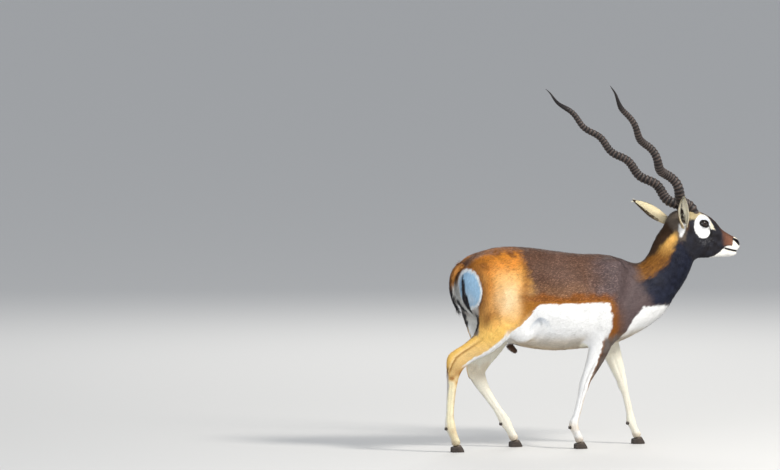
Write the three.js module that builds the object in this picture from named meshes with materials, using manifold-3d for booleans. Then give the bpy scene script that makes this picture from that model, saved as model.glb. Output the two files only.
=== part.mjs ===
// A male blackbuck at life size, walking, in millimetres. +X is towards the head, +Y the animal's left, +Z up.
// The flesh is one smooth body given by a distance function, and thin flat cuts part it into its named pieces.
import * as THREE from 'three';
import { mergeVertices } from 'three/addons/utils/BufferGeometryUtils.js';
import Module from 'manifold-3d';

const wasm = await Module();
wasm.setup();
const { Manifold, Mesh } = wasm;

const GAP = 0.3; // between pieces that touch
const RIGHT = -1;
const LEFT = 1;
const V = (x, y, z) => new THREE.Vector3(x, y, z);
const rad = THREE.MathUtils.degToRad;

// Each form is a row of stations: x, y, z of its centre, half depth seen from the side, half width across,
// and how much narrower it is above than below.
const TRUNK = [
  [-336, 0, 632, 70, 80, 0.0],
  [-262, 0, 620, 132, 106, 0.05],
  [-165, 0, 577, 180, 112, 0.05],
  [-50, 0, 554, 187, 122, 0.1],
  [60, 0, 548, 179, 120, 0.18],
  [160, 0, 550, 171, 106, 0.28],
  [245, 0, 550, 138, 86, 0.25],
  [315, 0, 558, 104, 70, 0.1],
];
const NECK = [
  [285, 0, 556, 100, 74, 0.1],
  [364, 1, 602, 93, 64, 0.12],
  [420, 3, 668, 88, 56, 0.12],
  [454, 6, 742, 84, 48, 0.05],
  [478, 8, 800, 62, 44, 0],
];
const TAIL = [
  [-392, 0, 690, 14, 17],
  [-411, 0, 672, 13, 17],
  [-424, 1, 642, 11, 17],
  [-426, 2, 602, 10, 16],
  [-418, 3, 564, 9, 13],
  [-407, 3, 534, 6, 7],
];

// Muscles and hollows: x, distance from the middle plane, z, the three half sizes, pitch in degrees, blend.
const MUSCLES = [
  [-302, 60, 616, 96, 50, 108, 18, 50], // haunch
  [-202, 56, 704, 52, 34, 30, 8, 50], // point of the hip
  [-364, 42, 592, 34, 38, 84, 20, 36], // buttock
  [168, 60, 590, 62, 46, 122, -14, 50], // shoulder blade
  [262, 50, 520, 62, 44, 66, 0, 45], // point of the shoulder
  [172, 64, 486, 78, 38, 62, -25, 45], // back of the upper arm
  [334, 22, 524, 48, 42, 46, 35, 36], // breast
  [-195, 82, 470, 44, 26, 70, 25, 40], // flank fold
];
const HOLLOWS = [
  [-122, 152, 622, 80, 42, 60, 0, 50], // hollow of the flank
  [272, 112, 622, 34, 34, 74, -28, 44], // in front of the shoulder
];

// Legs: side, then stations from the thigh or upper arm down to the top of the hoofs.
const LEGS = {
  right_hind: {
    side: RIGHT,
    stations: [
      [-262, -74, 540, 90, 50], [-290, -82, 460, 68, 42], [-334, -86, 406, 48, 31], [-384, -87, 374, 37, 24],
      [-429, -87, 343, 36, 21], [-449, -87, 302, 28, 18], [-455, -86, 254, 20, 15], [-460, -85, 197, 16.5, 13],
      [-463, -84, 139, 15.5, 13], [-461, -84, 98, 20, 17], [-449, -84, 64, 15.5, 17], [-439, -84, 36, 17, 18],
    ],
    joint: 303, joint_at: [-449, -87], hoof: [-433, -84],
    heel: [[-352, -85, 418, 18, 14], [-412, -86, 387, 10, 9], [-460, -87, 359, 11, 11], [-463, -87, 322, 11, 10]],
  },
  left_hind: {
    side: LEFT,
    stations: [
      [-264, 76, 520, 100, 50], [-250, 83, 445, 84, 43], [-258, 86, 388, 60, 34], [-282, 86, 338, 44, 26],
      [-301, 86, 292, 35, 21], [-289, 86, 250, 27, 18], [-264, 84, 207, 19.5, 15], [-241, 82, 172, 16.5, 13],
      [-218, 80, 138, 16, 13], [-192, 79, 97, 20.5, 17], [-172, 79, 63, 15.5, 17], [-158, 79, 36, 17, 18],
    ],
    joint: 254, joint_at: [-289, 86], hoof: [-150, 79],
    heel: [[-300, 86, 380, 16, 12], [-322, 86, 334, 9, 9], [-331, 86, 306, 10, 11], [-323, 86, 272, 10, 10]],
  },
  right_fore: {
    side: RIGHT,
    stations: [
      [165, -62, 500, 70, 40], [142, -70, 415, 48, 31], [117, -73, 345, 35, 24], [95, -75, 297, 26, 19.5],
      [75, -75, 257, 20, 18], [67, -75, 232, 19, 17.5], [58, -75, 200, 14.5, 13], [47, -75, 155, 13.5, 12.5],
      [36, -75, 118, 14, 13], [27, -75, 90, 18, 16], [38, -75, 60, 14.5, 16], [49, -75, 35, 16.5, 18],
    ],
    joint: 214, joint_at: [62, -75], hoof: [55, -75], heel: null,
  },
  left_fore: {
    side: LEFT,
    stations: [
      [185, 62, 500, 70, 40], [204, 68, 405, 47, 31], [231, 71, 335, 34, 24], [250, 72, 285, 27, 19.5],
      [264, 72, 246, 21, 18], [270, 72, 222, 19, 17.5], [280, 72, 193, 14.5, 13], [290, 72, 155, 13.5, 12.5],
      [298, 72, 118, 14, 13], [304, 72, 88, 17.5, 16], [315, 72, 59, 14.5, 16], [326, 72, 35, 16.5, 18],
    ],
    joint: 205, joint_at: [276, 72], hoof: [332, 72], heel: null,
  },
};

// The head has its own frame: forward, across to the left, and up, from a pivot at the top of the neck.
const HEAD_PIVOT = V(470, 8, 800);
const HEAD_YAW = 6;
const HEAD_ROLL = -4;
const SKULL = [
  [2, 0, 34, 44, 40, 0], [55, 0, 28, 50, 43, 0.1], [105, 0, 7, 50, 36, 0.1], [150, 0, -27, 41, 27, 0.05],
  [194, 0, -46, 33, 21, 0], [218, 0, -54, 29, 21, 0], [227, 0, -57, 23, 18, 0],
];
const JAW = [
  [38, 0, -52, 40, 30, 0], [88, 0, -68, 34, 27, 0], [145, 0, -80, 22, 17, 0], [196, 0, -87, 14, 14, 0],
  [214, 0, -87, 13, 13, 0],
];
const HEAD_MASSES = [
  [60, 22, -22, 52, 24, 50, 0, 24], // cheek
  [78, 33.5, 28, 34, 20, 30, -20, 14], // eye socket
  [47, 22, 62, 26, 22, 22, 0, 14], // boss under each horn
  [-6, 34, 30, 24, 22, 26, 0, 18], // root of the ear
  [210, 12, -65, 26, 11, 14, -12, 8], // upper lip
  [207, 9, -86, 24, 9, 10, -6, 8], // lower lip
  [223, 9, -43, 16, 9, 13, -30, 8], // wing of the nostril
];
const HEAD_HOLLOWS = [
  [128, 40, -8, 22, 12, 24, -30, 14], // in front of the eye
  [165, 30, -40, 34, 9, 16, -20, 10], // side of the muzzle
];
const EYE = { at: V(82.5, 38, 25), radius: 19, facing: V(0.2, 1, 0.08).normalize() };
const LID = { out: 1, thick: 2.8, steps: 22, sides: 6, wide: 55, above: 35, below: 29 };
const NOSTRIL = { at: V(226, 15.5, -47), half: V(8, 6, 4), pitch: 38 };
const MOUTH = { front: V(255, 0, -82), corner: V(180, 0, -68), half: 0.8, deep: 5 };

// Each horn winds round a slightly bowed line; it starts in the head and leans out and back to its tip.
const HORNS = {
  [RIGHT]: {
    root: V(50, -24, 71), tip: V(-397, -283, 553), bow: -9.5, skew: -0.57, wave: [13.5, 3.6], turns: -4.06, phase: 0,
  },
  [LEFT]: {
    root: V(47, 24, 66), tip: V(-404, 283, 549), bow: -6.8, skew: -0.8, wave: [9, 4.8], turns: -5.15, phase: 38,
  },
};
const HORN_BASE = 19.5;
const HORN_RINGS = 27;
const HORN_SIDES = 8;

const EARS = {
  right: { root: V(-3, -52, 20), along: V(-0.32, -0.8, 1), facing: V(0.2, -1, -0.6) },
  left: { root: V(-10, 44, 32), along: V(-0.8, 0.37, 0.56), facing: V(0.15, 1, -0.2), long: 1.13 },
};
const EAR = { length: 146, thick: 3 };

// Cell sizes of the faceted surface
const CELL = {
  torso: [35, 28, 31],
  neck: [26, 22, 25],
  head: [12.5, 9.5, 10.5],
  upper: [22, 16, 23],
  lower: [9.5, 8, 24],
};

// Smooth joins of two distances
function blend(a, b, k) {
  const h = Math.max(k - Math.abs(a - b), 0) / k;
  return Math.min(a, b) - h * h * k / 4;
}
const carve = (a, b, k) => -blend(-a, b, k);

// Catmull-Rom stations between the given ones
function smoothed(stations, steps) {
  const pick = (i) => stations[Math.min(Math.max(i, 0), stations.length - 1)];
  const rows = [];
  for (let i = 0; i < stations.length - 1; i += 1) {
    for (let s = 0; s < steps; s += 1) {
      const t = s / steps;
      rows.push(pick(i).map((b, k) => {
        const [a, c, d] = [pick(i - 1)[k], pick(i + 1)[k], pick(i + 2)[k]];
        return b + 0.5 * t * (c - a + t * (2 * a - 5 * b + 4 * c - d + t * (3 * (b - c) + d - a)));
      }));
    }
  }
  rows.push(pick(stations.length - 1));
  return rows;
}

const REACH = 90; // past this a form no longer matters to its neighbours

// Distance to a form swept along its stations, with sections that are ovals
function sweep(stations, steps = 4) {
  const rows = smoothed(stations, steps);
  const parts = rows.slice(1).map((b, i) => {
    const a = rows[i];
    const d = [b[0] - a[0], b[1] - a[1], b[2] - a[2]];
    const long = Math.hypot(...d);
    return { a, b, d, sq: long * long, up: [-d[2] / long, 0, d[0] / long] };
  });
  const low = [0, 1, 2].map((k) => Math.min(...rows.map((r) => r[k] - Math.max(r[3], r[4]))));
  const high = [0, 1, 2].map((k) => Math.max(...rows.map((r) => r[k] + Math.max(r[3], r[4]))));
  return (x, y, z) => {
    const outside = Math.hypot(
      Math.max(low[0] - x, 0, x - high[0]),
      Math.max(low[1] - y, 0, y - high[1]),
      Math.max(low[2] - z, 0, z - high[2]),
    );
    if (outside > REACH) return outside;
    let best = Infinity;
    for (const p of parts) {
      const [px, py, pz] = [x - p.a[0], y - p.a[1], z - p.a[2]];
      const t = Math.min(Math.max((px * p.d[0] + py * p.d[1] + pz * p.d[2]) / p.sq, 0), 1);
      const [qx, qy, qz] = [px - t * p.d[0], py - t * p.d[1], pz - t * p.d[2]];
      const deep = p.a[3] + t * (p.b[3] - p.a[3]);
      let wide = p.a[4] + t * (p.b[4] - p.a[4]);
      const egg = (p.a[5] ?? 0) + t * ((p.b[5] ?? 0) - (p.a[5] ?? 0));
      if (egg) wide *= 1 - egg * Math.min(Math.max((qx * p.up[0] + qz * p.up[2]) / deep, -1), 1);
      const far = Math.hypot(qx, qy, qz);
      const share = Math.sqrt((qy / wide) ** 2 + (qx * qx + qz * qz) / (deep * deep));
      best = Math.min(best, share > 1e-6 ? far - far / share : -Math.min(deep, wide));
    }
    return best;
  };
}

// Distance to a pair of ovals, one on each side of the middle plane
function pair([cx, cy, cz, rx, ry, rz, pitch, k]) {
  const [cos, sin] = [Math.cos(rad(pitch)), Math.sin(rad(pitch))];
  const size = Math.max(rx, ry, rz) + REACH;
  const distance = (x, y, z) => {
    const [dx, dy, dz] = [x - cx, Math.abs(y) - cy, z - cz];
    const far = Math.hypot(dx, dy, dz);
    if (far > size) return far - size + REACH;
    const share = Math.hypot((dx * cos + dz * sin) / rx, dy / ry, (dz * cos - dx * sin) / rz);
    return share > 1e-6 ? far - far / share : -Math.min(rx, ry, rz);
  };
  return { distance, k };
}

const headFrame = new THREE.Matrix4().makeTranslation(HEAD_PIVOT)
  .multiply(new THREE.Matrix4().makeRotationZ(rad(HEAD_YAW)))
  .multiply(new THREE.Matrix4().makeRotationX(rad(HEAD_ROLL)));
const headInverse = headFrame.clone().invert();

const skull = sweep(SKULL);
const jaw = sweep(JAW);
const headMasses = HEAD_MASSES.map(pair);
const headHollows = HEAD_HOLLOWS.map(pair);
const local = new THREE.Vector3();

function headDistance(x, y, z) {
  local.set(x, y, z).applyMatrix4(headInverse);
  let d = blend(skull(local.x, local.y, local.z), jaw(local.x, local.y, local.z), 22);
  for (const m of headMasses) d = blend(d, m.distance(local.x, local.y, local.z), m.k);
  for (const m of headHollows) d = carve(d, m.distance(local.x, local.y, local.z), m.k);
  return d;
}

const trunk = sweep(TRUNK);
const neck = sweep(NECK);
const legs = Object.values(LEGS).map((leg) => sweep(leg.stations, 3));
const heels = Object.values(LEGS).filter((leg) => leg.heel).map((leg) => sweep(leg.heel));
const muscles = MUSCLES.map(pair);
const hollows = HOLLOWS.map(pair);

// Distance to the whole body without ears, horns, eyes, tail and hoofs
function flesh(x, y, z) {
  let d = blend(trunk(x, y, z), neck(x, y, z), 45);
  for (const m of muscles) d = blend(d, m.distance(x, y, z), m.k);
  for (const m of hollows) d = carve(d, m.distance(x, y, z), m.k);
  for (const leg of legs) d = blend(d, leg(x, y, z), 26);
  for (const heel of heels) d = blend(d, heel(x, y, z), 12);
  return blend(d, headDistance(x, y, z), 34);
}

// Turns a closed geometry into a solid, and back into a geometry
function solid(geometry) {
  const bare = geometry.clone();
  bare.deleteAttribute('normal');
  bare.deleteAttribute('uv');
  const merged = mergeVertices(bare, 1e-4);
  return new Manifold(new Mesh({
    numProp: 3,
    vertProperties: merged.attributes.position.array,
    triVerts: new Uint32Array(merged.index.array),
  }));
}

function geometryOf(shape) {
  const { vertProperties, triVerts, numProp } = shape.getMesh();
  const points = new Float32Array(vertProperties.length / numProp * 3);
  for (let i = 0; i < points.length / 3; i += 1) {
    points.set(vertProperties.subarray(i * numProp, i * numProp + 3), i * 3);
  }
  return new THREE.BufferGeometry()
    .setAttribute('position', new THREE.BufferAttribute(points, 3))
    .setIndex(new THREE.BufferAttribute(new Uint32Array(triVerts), 1));
}

// A closed solid from points and faces, turned the right way out
function closed(points, faces) {
  const build = (list) => new Manifold(new Mesh({
    numProp: 3,
    vertProperties: new Float32Array(points.flatMap((p) => p.toArray())),
    triVerts: new Uint32Array(list),
  }));
  const made = build(faces);
  return made.volume() > 0 ? made : build([...faces].reverse());
}

const largest = (shape) => shape.decompose().reduce((a, b) => (a.volume() > b.volume() ? a : b));

// Faceted surface of a distance function inside a box, by the dual of its grid, then drawn onto the true surface
function facets(distance, low, high, cell, level = 0) {
  const count = [0, 1, 2].map((k) => Math.ceil((high[k] - low[k]) / cell[k]));
  const step = [0, 1, 2].map((k) => (high[k] - low[k]) / count[k]);
  const [nx, ny, nz] = count.map((c) => c + 1);
  const index = (i, j, k) => (k * ny + j) * nx + i;
  const place = (i, j, k) => [low[0] + i * step[0], low[1] + j * step[1], low[2] + k * step[2]];
  const value = new Float64Array(nx * ny * nz);
  const onEdge = (i, j, k) => i === 0 || j === 0 || k === 0 || i === nx - 1 || j === ny - 1 || k === nz - 1;
  for (let k = 0; k < nz; k += 1) {
    for (let j = 0; j < ny; j += 1) {
      for (let i = 0; i < nx; i += 1) {
        value[index(i, j, k)] = onEdge(i, j, k) ? 1 : distance(...place(i, j, k)) - level;
      }
    }
  }
  const cellVertex = new Map();
  const points = [];
  const free = [];
  const corners = [0, 1, 2, 3, 4, 5, 6, 7].map((c) => [c & 1, (c >> 1) & 1, (c >> 2) & 1]);
  const edges = corners.flatMap((a, i) => corners.flatMap((b, j) => (
    j > i && Math.abs(a[0] - b[0]) + Math.abs(a[1] - b[1]) + Math.abs(a[2] - b[2]) === 1 ? [[a, b]] : [])));
  for (let k = 0; k < nz - 1; k += 1) {
    for (let j = 0; j < ny - 1; j += 1) {
      for (let i = 0; i < nx - 1; i += 1) {
        const sum = [0, 0, 0];
        let crossed = 0;
        for (const [a, b] of edges) {
          const va = value[index(i + a[0], j + a[1], k + a[2])];
          const vb = value[index(i + b[0], j + b[1], k + b[2])];
          if ((va < 0) === (vb < 0)) continue;
          const t = va / (va - vb);
          for (let n = 0; n < 3; n += 1) sum[n] += a[n] + t * (b[n] - a[n]);
          crossed += 1;
        }
        if (!crossed) continue;
        cellVertex.set(index(i, j, k), points.length);
        points.push([0, 1, 2].map((n) => low[n] + ([i, j, k][n] + sum[n] / crossed) * step[n]));
        free.push(i > 0 && j > 0 && k > 0 && i < nx - 2 && j < ny - 2 && k < nz - 2);
      }
    }
  }
  const half = 0.4;
  points.forEach((p, n) => {
    for (let pass = 0; free[n] && pass < 4; pass += 1) {
      const d = distance(...p) - level;
      const g = [0, 1, 2].map((a) => {
        const [q, r] = [[...p], [...p]];
        q[a] += half;
        r[a] -= half;
        return (distance(...q) - distance(...r)) / (2 * half);
      });
      const size = g[0] ** 2 + g[1] ** 2 + g[2] ** 2;
      if (size < 0.04) break;
      for (let a = 0; a < 3; a += 1) {
        const move = -d * g[a] / size;
        p[a] += Math.min(Math.max(move, -step[a] * 0.35), step[a] * 0.35);
      }
    }
  });
  const far = (a, b) => Math.hypot(points[a][0] - points[b][0], points[a][1] - points[b][1], points[a][2] - points[b][2]);
  const faces = [];
  const quad = (a, b, c, d, flip) => {
    const q = flip ? [d, c, b, a] : [a, b, c, d];
    if (far(q[0], q[2]) < far(q[1], q[3])) faces.push(q[0], q[1], q[2], q[0], q[2], q[3]);
    else faces.push(q[1], q[2], q[3], q[1], q[3], q[0]);
  };
  const at = (i, j, k) => cellVertex.get(index(i, j, k));
  for (let k = 0; k < nz - 1; k += 1) {
    for (let j = 0; j < ny - 1; j += 1) {
      for (let i = 0; i < nx - 1; i += 1) {
        const inside = value[index(i, j, k)] < 0;
        if (inside !== value[index(i + 1, j, k)] < 0) {
          quad(at(i, j - 1, k - 1), at(i, j, k - 1), at(i, j, k), at(i, j - 1, k), !inside);
        }
        if (inside !== value[index(i, j + 1, k)] < 0) {
          quad(at(i - 1, j, k - 1), at(i - 1, j, k), at(i, j, k), at(i, j, k - 1), !inside);
        }
        if (inside !== value[index(i, j, k + 1)] < 0) {
          quad(at(i - 1, j - 1, k), at(i, j - 1, k), at(i, j, k), at(i - 1, j, k), !inside);
        }
      }
    }
  }
  return new Manifold(new Mesh({
    numProp: 3,
    vertProperties: new Float32Array(points.flat()),
    triVerts: new Uint32Array(faces),
  }));
}

// A block whose bottom face lies in the plane through a point, reaching far along the normal
const FAR = 1600;
function beyond(point, normal, shift = 0) {
  const box = new THREE.BoxGeometry(2 * FAR, 2 * FAR, FAR);
  box.translate(0, 0, FAR / 2 + shift);
  box.applyQuaternion(new THREE.Quaternion().setFromUnitVectors(V(0, 0, 1), normal.clone().normalize()));
  box.translate(point.x, point.y, point.z);
  return solid(box);
}

// Loft through rings of the same number of points, with a flat or pointed fan at each end
function loft(rings) {
  const sides = rings[0].length;
  const points = rings.flat();
  const faces = [];
  for (let r = 0; r < rings.length - 1; r += 1) {
    for (let s = 0; s < sides; s += 1) {
      const [a, b] = [r * sides + s, r * sides + (s + 1) % sides];
      faces.push(a, b, b + sides, a, b + sides, a + sides);
    }
  }
  const middle = (ring) => ring.reduce((sum, p) => sum.add(p), V(0, 0, 0)).divideScalar(sides);
  points.push(middle(rings[0]), middle(rings[rings.length - 1]));
  const [first, last] = [points.length - 2, points.length - 1];
  for (let s = 0; s < sides; s += 1) {
    faces.push(first, (s + 1) % sides, s);
    const top = (rings.length - 1) * sides;
    faces.push(last, top + s, top + (s + 1) % sides);
  }
  return closed(points, faces);
}

const inHead = (shape) => shape.transform(headFrame.toArray());

function ball(at, half, pitch = 0, sides = 10) {
  const sphere = new THREE.SphereGeometry(1, sides, Math.round(sides * 0.6));
  sphere.scale(half.x, half.y, half.z).rotateY(rad(pitch)).translate(at.x, at.y, at.z);
  return solid(sphere);
}

// Middle line of a horn: a straight line to the tip, bowed back, with a winding wave
function hornPoint(side, t) {
  const { root, tip, bow, skew, wave, turns, phase } = HORNS[side];
  const along = tip.clone().sub(root);
  const outward = V(0, side, 0).addScaledVector(along, -side * along.y / along.lengthSq()).normalize();
  const forward = outward.clone().cross(along).multiplyScalar(side).normalize();
  if (forward.x < 0) forward.negate();
  const angle = rad(phase) + 2 * Math.PI * turns * t;
  const size = (wave[0] + (wave[1] - wave[0]) * t) * Math.min(1, t / 0.05) * Math.min(1, (1 - t) / 0.06);
  const back = bow * 4 * t * (1 - t) * (1 + skew * (1 - 2 * t));
  return root.clone().addScaledVector(along, t)
    .addScaledVector(forward, back + size * Math.cos(angle))
    .addScaledVector(outward, size * Math.sin(angle));
}

const hornRadius = (t) => HORN_BASE * (1 - 0.62 * t ** 1.25) * Math.min(1, ((1 - t) / 0.16) ** 0.72);

function horn(side, grow = 0) {
  const ringed = 0.86;
  const places = [-0.012];
  for (let i = 0; i < HORN_RINGS; i += 1) {
    const t = ringed * (i / HORN_RINGS) ** 0.97;
    const next = ringed * ((i + 1) / HORN_RINGS) ** 0.97;
    places.push(t, t + 0.55 * (next - t));
  }
  places.push(ringed, 0.9, 0.94, 0.975, 0.995);
  const rings = places.map((t, i) => {
    const here = hornPoint(side, Math.max(t, 0));
    const ahead = hornPoint(side, Math.max(t, 0) + 0.004);
    const direction = ahead.sub(here).normalize();
    if (t < 0) here.addScaledVector(direction, -16);
    const across = V(0, 1, 0).addScaledVector(direction, -direction.y).normalize();
    const up = direction.clone().cross(across);
    const crest = i > 0 && t < ringed && i % 2 === 0 ? 1.07 : 0.95;
    const radius = hornRadius(Math.max(t, 0)) * (t < ringed ? crest : 1) + grow;
    return Array.from({ length: HORN_SIDES }, (_, s) => {
      const a = 2 * Math.PI * s / HORN_SIDES;
      return here.clone().addScaledVector(across, radius * Math.cos(a)).addScaledVector(up, radius * Math.sin(a));
    });
  });
  return inHead(loft(rings));
}

// An ear: a leaf rolled into a cup, as a row of crescent sections, on a solid root
function ear({ root, along, facing, long = 1 }, grow = 0) {
  const axis = along.clone().normalize();
  const open = facing.clone().addScaledVector(axis, -facing.dot(axis)).normalize();
  const across = axis.clone().cross(open);
  const arc = 7;
  const rows = [
    [0, 13.5, 150], [0.08, 14.5, 142], [0.18, 17, 122], [0.3, 20.5, 98], [0.44, 23.5, 80], [0.58, 24, 68],
    [0.71, 21.5, 58], [0.82, 17, 50], [0.91, 11.5, 42], [0.97, 6.5, 34], [1, 3, 28],
  ];
  const rings = rows.map(([t, radius, open_to]) => {
    const centre = root.clone().addScaledVector(axis, t * EAR.length * long)
      .addScaledVector(open, radius * 0.35 - 5 * Math.sin(Math.PI * t));
    const outer = radius + grow;
    const inner = radius - EAR.thick * (1 - 0.45 * t) - grow;
    const point = (r, a) => centre.clone()
      .addScaledVector(open, -r * Math.cos(a)).addScaledVector(across, r * Math.sin(a));
    const limit = rad(open_to) + grow / radius;
    const angles = Array.from({ length: arc }, (_, i) => limit * (2 * i / (arc - 1) - 1));
    return [...angles.map((a) => point(outer, a)), ...angles.reverse().map((a) => point(inner, a))];
  });
  const plug = ball(root.clone().addScaledVector(axis, -3), V(16.3 + grow, 15.7 + grow, 17.4 + grow), 11);
  return inHead(loft(rings).add(plug));
}

function mirrored(v, side) {
  return V(v.x, side * v.y, v.z);
}

// Lids: a rounded rim along an almond on a ball just outside the eye
function lids(side) {
  const centre = mirrored(EYE.at, side);
  const facing = mirrored(EYE.facing, side);
  const level = V(1, 0, -0.25).addScaledVector(facing, -V(1, 0, -0.25).dot(facing)).normalize();
  const up = level.clone().cross(facing).multiplyScalar(-side).normalize();
  const path = Array.from({ length: LID.steps }, (_, i) => {
    const a = 2 * Math.PI * i / LID.steps;
    const corner = Math.sign(Math.cos(a)) * Math.abs(Math.cos(a)) ** 0.85;
    const off = V(0, 0, 0).addScaledVector(level, Math.tan(rad(LID.wide)) * corner)
      .addScaledVector(up, Math.tan(rad(a < Math.PI ? LID.above : LID.below)) * Math.sin(a));
    return off.add(facing).normalize();
  });
  const rings = path.map((d, i) => {
    const [before, after] = [path[(i + LID.steps - 1) % LID.steps], path[(i + 1) % LID.steps]];
    const run = after.clone().sub(before).normalize();
    const inward = d.clone().cross(run).normalize();
    const middle = centre.clone().addScaledVector(d, EYE.radius + LID.out);
    return Array.from({ length: LID.sides }, (_, s) => {
      const a = 2 * Math.PI * s / LID.sides;
      return middle.clone().addScaledVector(d, LID.thick * Math.cos(a))
        .addScaledVector(inward, -side * LID.thick * Math.sin(a) * side);
    });
  });
  const points = rings.flat();
  const faces = [];
  for (let r = 0; r < LID.steps; r += 1) {
    for (let s = 0; s < LID.sides; s += 1) {
      const a = r * LID.sides + s;
      const b = r * LID.sides + (s + 1) % LID.sides;
      const c = ((r + 1) % LID.steps) * LID.sides + s;
      const d = ((r + 1) % LID.steps) * LID.sides + (s + 1) % LID.sides;
      faces.push(a, b, d, a, d, c);
    }
  }
  return closed(points, faces);
}

// One hoof of a cloven pair, from its sole up to the sloping line of the skin
const HOOF = { half: 24, wide: 8.6, top: 25, slope: 0.3, apart: 9.6, sides: 10 };
const coronet = (x, x0) => HOOF.top + HOOF.slope * (x - x0);

function hoof([x0, y0], inner) {
  const y = y0 + inner * HOOF.apart;
  const rows = [[0, 1, 1, 0], [0.18, 1, 1, -0.5], [0.62, 0.84, 0.97, -4], [1, 0.68, 0.9, -7]];
  return loft(rows.map(([share, long, wide, shift]) => Array.from({ length: HOOF.sides }, (_, s) => {
    const a = 2 * Math.PI * s / HOOF.sides;
    const x = x0 + shift + HOOF.half * long * Math.cos(a);
    const narrow = 1 - 0.38 * Math.max(Math.cos(a), 0) ** 2;
    return V(x, y + HOOF.wide * wide * narrow * Math.sin(a), share * coronet(x, x0));
  })));
}

// Body parts
const bodyMaterial = (color) => new THREE.MeshStandardMaterial({ color, roughness: 0.85, metalness: 0 });
const MATERIALS = {
  dark: bodyMaterial(0x3a2a22),
  tan: bodyMaterial(0xa8703a),
  white: bodyMaterial(0xe8e2d6),
  horn: new THREE.MeshStandardMaterial({ color: 0x3b2f2a, roughness: 0.6, metalness: 0 }),
  hoof: new THREE.MeshStandardMaterial({ color: 0x1d1916, roughness: 0.45, metalness: 0 }),
  eye: new THREE.MeshStandardMaterial({ color: 0x120b07, roughness: 0.08, metalness: 0 }),
};

// Draws together the ends of edges that a cut left very short, where the surface stays closed
function tidied(shape, shortest = 0.25) {
  const geometry = geometryOf(shape);
  const index = geometry.index.array;
  const at = geometry.attributes.position;
  const faces = Array.from({ length: index.length / 3 }, (_, i) => [...index.slice(3 * i, 3 * i + 3)]);
  const around = Array.from({ length: at.count }, () => new Set());
  faces.forEach((face, i) => face.forEach((v) => around[v].add(i)));
  const neighbours = (v) => new Set([...around[v]].flatMap((i) => faces[i]).filter((w) => w !== v));
  const [p, q] = [V(0, 0, 0), V(0, 0, 0)];
  for (let i = 0; i < faces.length; i += 1) {
    for (let e = 0; faces[i] && e < 3; e += 1) {
      const [a, b] = [faces[i][e], faces[i][(e + 1) % 3]];
      p.fromBufferAttribute(at, a);
      q.fromBufferAttribute(at, b);
      if (p.distanceTo(q) >= shortest) continue;
      const near = neighbours(b);
      const shared = [...neighbours(a)].filter((w) => near.has(w));
      if (shared.length !== 2) continue;
      for (const f of [...around[b]]) {
        if (faces[f].includes(a)) {
          faces[f].forEach((v) => around[v].delete(f));
          faces[f] = null;
        } else {
          faces[f] = faces[f].map((v) => (v === b ? a : v));
          around[a].add(f);
        }
      }
      around[b].clear();
      break;
    }
  }
  return new Manifold(new Mesh({
    numProp: 3,
    vertProperties: at.array,
    triVerts: new Uint32Array(faces.filter((face) => face).flat()),
  }));
}

const group = new THREE.Group();
function addNode(name, shape, material) {
  const kept = tidied(largest(shape));
  const mesh = new THREE.Mesh(geometryOf(kept), material);
  mesh.name = name;
  group.add(mesh);
}

const NECK_BASE = { at: V(368, 0, 612), normal: V(0.857, 0, 0.515) };
const NECK_TOP = { at: V(466, 8, 772), normal: V(0.85, 0, 0.527) };

// The block of space that each upper leg takes from the body
function legBlock(name, grow) {
  const leg = LEGS[name];
  const hind = name.endsWith('hind');
  const front = hind ? [V(-158, 0, 470), V(-0.88, 0, -0.48)] : [V(262, 0, 430), V(-0.9, 0, -0.43)];
  const back = hind ? [V(-700, 0, 400), V(1, 0, 0)] : [V(92, 0, 440), V(0.97, 0, -0.25)];
  const inner = [V(0, leg.side * (hind ? 16 : 20), 0), V(0, leg.side, 0)];
  const top = hind ? [V(-260, 0, 506), V(-0.1, 0, -1)] : [V(170, 0, 452), V(0.12, 0, -1)];
  return [front, back, inner, top].reduce(
    (shape, [at, normal]) => (shape ? shape.intersect(beyond(at, normal, -grow)) : beyond(at, normal, -grow)),
    null,
  );
}

// Tail
function tailSolid(grow) {
  const rows = smoothed(TAIL, 3);
  return loft(rows.map(([x, y, z, deep, wide], i) => {
    const [before, after] = [rows[Math.max(i - 1, 0)], rows[Math.min(i + 1, rows.length - 1)]];
    const run = V(after[0] - before[0], 0, after[2] - before[2]).normalize();
    const end = (i === 0 ? -grow : 0) + (i === rows.length - 1 ? grow : 0);
    return Array.from({ length: 12 }, (_, s) => {
      const a = 2 * Math.PI * s / 12;
      return V(x, y + (wide + grow) * Math.cos(a), z)
        .addScaledVector(V(run.z, 0, -run.x), (deep + grow) * Math.sin(a))
        .addScaledVector(run, end);
    });
  }));
}

// Torso
let torso = facets(flesh, [-462, -178, 335], [470, 178, 810], CELL.torso)
  .subtract(beyond(NECK_BASE.at, NECK_BASE.normal))
  .subtract(tailSolid(GAP));
for (const name of Object.keys(LEGS)) torso = torso.subtract(legBlock(name, GAP));
const sheath = ball(V(-190, 0, 377), V(25, 11, 11), 42, 10);
addNode('torso', torso.add(sheath), MATERIALS.dark);

// Neck
const neckSolid = facets(flesh, [230, -130, 440], [590, 130, 910], CELL.neck)
  .intersect(beyond(NECK_BASE.at, NECK_BASE.normal, GAP))
  .subtract(beyond(NECK_TOP.at, NECK_TOP.normal, 0))
  .subtract(ear(EARS.left, GAP));
addNode('neck', neckSolid, MATERIALS.dark);

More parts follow.
